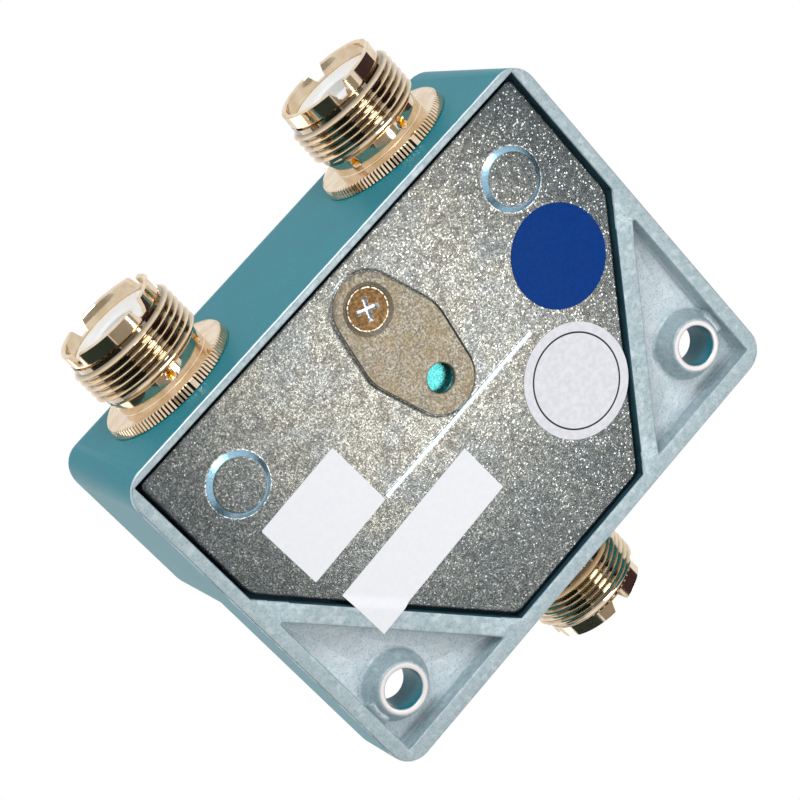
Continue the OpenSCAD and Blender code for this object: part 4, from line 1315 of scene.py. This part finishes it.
# %% Front plate, its numbers and its ticks
PRINT_Z, PRINT_H = 27.9, 0.04
PLATE_CORNERS = mirrored([(33.5, 23.8), (33.5, 3.9), (12.6, -23.8)])
NUMBER_SIZE, NUMBER_REACH, TICK_REACH = 5.4, 20.6, 16.4
NUMBER_ANGLES = {"1": 135, "2": 45}


def build_front_plate():
    bm = bmesh.new()
    outline = corner_edges(bm, PLATE_CORNERS, PRINT_Z, 2.0)
    hole = circle_edges(bm, SHAFT_AT, 5.1, PRINT_Z)
    thicken(bm, fill_between(bm, outline + hole), -0.49)
    soften(bm, edges_at(bm, PRINT_Z), 0.12, 2)
    return bm


def number_print(text, at):
    """One printed number as a thin mesh, from Blender's own font."""
    curve = bpy.data.curves.new("number", "FONT")
    curve.body = text
    curve.size = NUMBER_SIZE
    curve.align_x = "CENTER"
    curve.align_y = "CENTER"
    curve.extrude = PRINT_H / 2
    carrier = bpy.data.objects.new("number", curve)
    bpy.context.scene.collection.objects.link(carrier)
    bpy.context.view_layer.update()
    mesh = bpy.data.meshes.new_from_object(carrier.evaluated_get(bpy.context.evaluated_depsgraph_get()))
    bpy.data.objects.remove(carrier)
    bm = bmesh.new()
    bm.from_mesh(mesh)
    move(bm, bm.verts, at.x, at.y, PRINT_Z + PRINT_H / 2)
    return bm


def tick_print(angle):
    bm = bmesh.new()
    bar = bmesh.ops.create_cube(bm, size=1)
    bmesh.ops.scale(bm, vec=(1.9, 0.7, PRINT_H), verts=bar["verts"])
    soften(bm, edges_where(bm, lambda p: p.z > 0), 0.012, 1)
    move(bm, bm.verts, x=TICK_REACH)
    turn_flat(bm, angle)
    move(bm, bm.verts, *SHAFT_AT, PRINT_Z + PRINT_H / 2)
    return bm


finish_piece(build_front_plate(), "painted_front_plate", [BLACK_PLATE], ["front_plate"])
for text, angle in NUMBER_ANGLES.items():
    finish_piece(number_print(text, SHAFT_AT + direction(angle) * NUMBER_REACH), "number_" + text,
                 [WHITE_PAINT], weighted=False)
    finish_piece(tick_print(angle), "tick_" + text, [WHITE_PAINT])

# %% [markdown]
# ## The knob
#
# A moulded pointer knob: a round skirt with a finger bar across it and a white line at the pointing
# end. The skirt is a spun profile, hollow underneath for the nut. The bar is a rectangle whose corners
# are rounded until its ends are half circles, extruded with a little draft, as a mould needs, and
# softened along its top. Knob and line ride on the rotor, and all else rides on the housing.

# %% Knob
KNOB_Z, KNOB_TOP, SKIRT_TOP = 28.6, 43.0, 33.2
BAR_HALF, BAR_Z, BAR_TOP = Vector((4, 13.75)), 33.0, KNOB_TOP - 0.03
FIRST_POSITION = 45
SKIRT_PROFILE = [(3.02, KNOB_Z + 12), (3.02, 31.9), (8.3, 31.9), (8.5, 31.7), (8.5, 28.7), (8.6, KNOB_Z),
                 (13.8, KNOB_Z), (14.0, KNOB_Z + 0.2), (14.0, 32.0), (13.93, 32.35), (13.6, 32.85),
                 (13.25, 33.12), (12.9, SKIRT_TOP), (0, SKIRT_TOP)]


def build_knob():
    bm = bmesh.new()
    spun(bm, SKIRT_PROFILE, 128)
    x, y = BAR_HALF
    bar = corner_edges(bm, [(x, -y), (x, y), (-x, y), (-x, -y)], BAR_Z, x - 0.03, 16)
    top = thicken(bm, fill_between(bm, bar), BAR_TOP - BAR_Z)
    bmesh.ops.scale(bm, vec=(0.94, 0.985, 1), verts=list({v for f in top for v in f.verts}))
    soften(bm, edges_at(bm, BAR_TOP), 1.1, 6)
    return bm


def build_pointer_line():
    bm = bmesh.new()
    outline = corner_edges(bm, [(0.7, 3.6), (0.7, 12.2), (-0.7, 12.2), (-0.7, 3.6)], KNOB_TOP, 0.3, 4)
    thicken(bm, fill_between(bm, outline), -0.3)
    soften(bm, edges_at(bm, KNOB_TOP), 0.03, 1)
    return bm


def onto_rotor(bm):
    """Turns a piece from pointing along +Y to the knob's first position, about the shaft."""
    turn_flat(bm, FIRST_POSITION)
    move(bm, bm.verts, *SHAFT_AT)
    return bm


finish_piece(onto_rotor(build_knob()), "pointer_knob", [BLACK_PLASTIC], ["knob"], "rotor")
finish_piece(onto_rotor(build_pointer_line()), "pointer_line", [WHITE_PAINT], ["knob_pointer"],
             "rotor")

# %% [markdown]
# ## Floor, light and camera
#
# The photo is a product cut-out on pure white. The world is white to the camera and in reflections,
# and a soft grey to everything else, so it fills without flooding. The switch lies on its back rim
# and the camera looks up at that back from below, so the floor must not be in the way: its material
# shows only from above. Polished metal needs something darker to reflect as well, so two dark cards
# and a tan board stand round the set, where only reflections see them.

# %% World
scene = bpy.context.scene
scene.view_settings.view_transform = "Standard"
world = bpy.data.worlds.new("studio")
scene.world = world
world.use_nodes = True
sky = world.node_tree
sky.nodes.clear()


def white_world(strength):
    background = add_node(sky, "Background")
    feed(sky, (1, 1, 1, 1), background.inputs["Color"])
    feed(sky, strength, background.inputs["Strength"])
    return background.outputs[0]


rays = add_node(sky, "LightPath").outputs
seen = either(sky, either(sky, rays["Is Camera Ray"], rays["Is Glossy Ray"]), rays["Is Transmission Ray"])
feed(sky, mix_shaders(sky, seen, white_world(0.5), white_world(1.0)),
     add_node(sky, "OutputWorld").inputs["Surface"])
print("world made")


# %% Floor that shows only from above
def stage_board(name, size, matrix, material):
    """A flat board that isn't part of the object."""
    bm = bmesh.new()
    bmesh.ops.create_grid(bm, x_segments=1, y_segments=1, size=0.5)
    bmesh.ops.scale(bm, vec=(*size, 1), verts=bm.verts)
    bmesh.ops.transform(bm, matrix=matrix, verts=bm.verts)
    mesh = bpy.data.meshes.new(name)
    bm.to_mesh(mesh)
    bm.free()
    mesh.materials.append(material)
    board = bpy.data.objects.new(name, mesh)
    scene.collection.objects.link(board)
    return board


def pale_floor():
    """Chalk to a camera above it, and nothing to all else."""
    material = bpy.data.materials.new("pale_floor")
    material.use_nodes = True
    tree = material.node_tree
    tree.nodes.clear()
    above_it = math_node(tree, "SUBTRACT", 1.0, add_node(tree, "NewGeometry").outputs["Backfacing"])
    shown = both(tree, add_node(tree, "LightPath").outputs["Is Camera Ray"], above_it)
    chalk = add_node(tree, "BsdfDiffuse")
    chalk.inputs["Color"].default_value = (0.86, 0.86, 0.86, 1)
    clear = add_node(tree, "BsdfTransparent")
    feed(tree, mix_shaders(tree, shown, clear.outputs[0], chalk.outputs[0]),
         add_node(tree, "OutputMaterial").inputs["Surface"])
    return material


stage_board("floor", (3, 3), Matrix.Translation((0, 0, -0.5 * MM)), pale_floor())
print("floor laid")

# %% Camera at the photo's angle
CAMERA_AT = Vector((63.41, 114.39, -256.22)) * MM
LOOKS_AT = Vector((4.269, 7.944, 0)) * MM
CAMERA_ROLL = -75.21


def aim(at, towards, axis="-Z"):
    """The turn that points an axis of something at a place towards another place."""
    return (Vector(towards) - Vector(at)).to_track_quat(axis, "Y")


camera_data = bpy.data.cameras.new("camera")
camera_data.sensor_width = 36
camera_data.lens = 103.68
camera_data.clip_start = 0.01
camera_data.clip_end = 10
camera = bpy.data.objects.new("camera", camera_data)
scene.collection.objects.link(camera)
camera.location = CAMERA_AT
camera.rotation_mode = "QUATERNION"
camera.rotation_quaternion = aim(CAMERA_AT, LOOKS_AT) @ Quaternion((0, 0, 1), math.radians(CAMERA_ROLL))
scene.camera = camera
print("camera is", round((LOOKS_AT - CAMERA_AT).length * 1000), "mm away")

# %% Lamps and the boards that reflections see
OBJECT_MIDDLE = (0, 0, 0.012)


def soft_lamp(name, at, watts, size, colour=(1, 1, 1), towards=OBJECT_MIDDLE):
    data = bpy.data.lights.new(name, "AREA")
    data.shape = "SQUARE"
    data.size = size
    data.energy = watts
    data.color = colour
    lamp = bpy.data.objects.new(name, data)
    scene.collection.objects.link(lamp)
    lamp.location = at
    lamp.rotation_mode = "QUATERNION"
    lamp.rotation_quaternion = aim(at, towards)


def reflected_card(name, at, size, shade):
    """A board that only reflections see."""
    material = bpy.data.materials.new(name + "_board")
    material.use_nodes = True
    shader = material.node_tree.nodes["Principled BSDF"]
    shader.inputs["Base Color"].default_value = (*shade, 1)
    shader.inputs["Roughness"].default_value = 1.0
    matrix = Matrix.Translation(at) @ aim(at, OBJECT_MIDDLE, "Z").to_matrix().to_4x4()
    card = stage_board(name, size, matrix, material)
    card.visible_camera = False
    card.visible_diffuse = False
    card.visible_shadow = False


soft_lamp("back_key", (-0.049, -0.067, -0.198), 0.13, 0.07, towards=(0, 0.012, 0))
soft_lamp("wall_light", (-0.06, 0.52, -0.32), 1.8, 0.3, (0.9, 0.96, 1))
soft_lamp("front_key", (-0.3, -0.35, 0.55), 1.9, 0.35)
soft_lamp("front_fill", (0.45, -0.1, 0.4), 0.8, 0.5)
reflected_card("card_behind", (0.02, -0.33, -0.76), (0.9, 0.9), (0.52, 0.47, 0.4))
reflected_card("card_plus_x", (0.61, -0.28, -0.2), (0.4, 1.1), (0.03, 0.05, 0.045))
reflected_card("card_minus_x", (-0.6, -0.28, -0.23), (0.4, 0.78), (0.06, 0.03, 0.04))
print("lamps:", len(bpy.data.lights))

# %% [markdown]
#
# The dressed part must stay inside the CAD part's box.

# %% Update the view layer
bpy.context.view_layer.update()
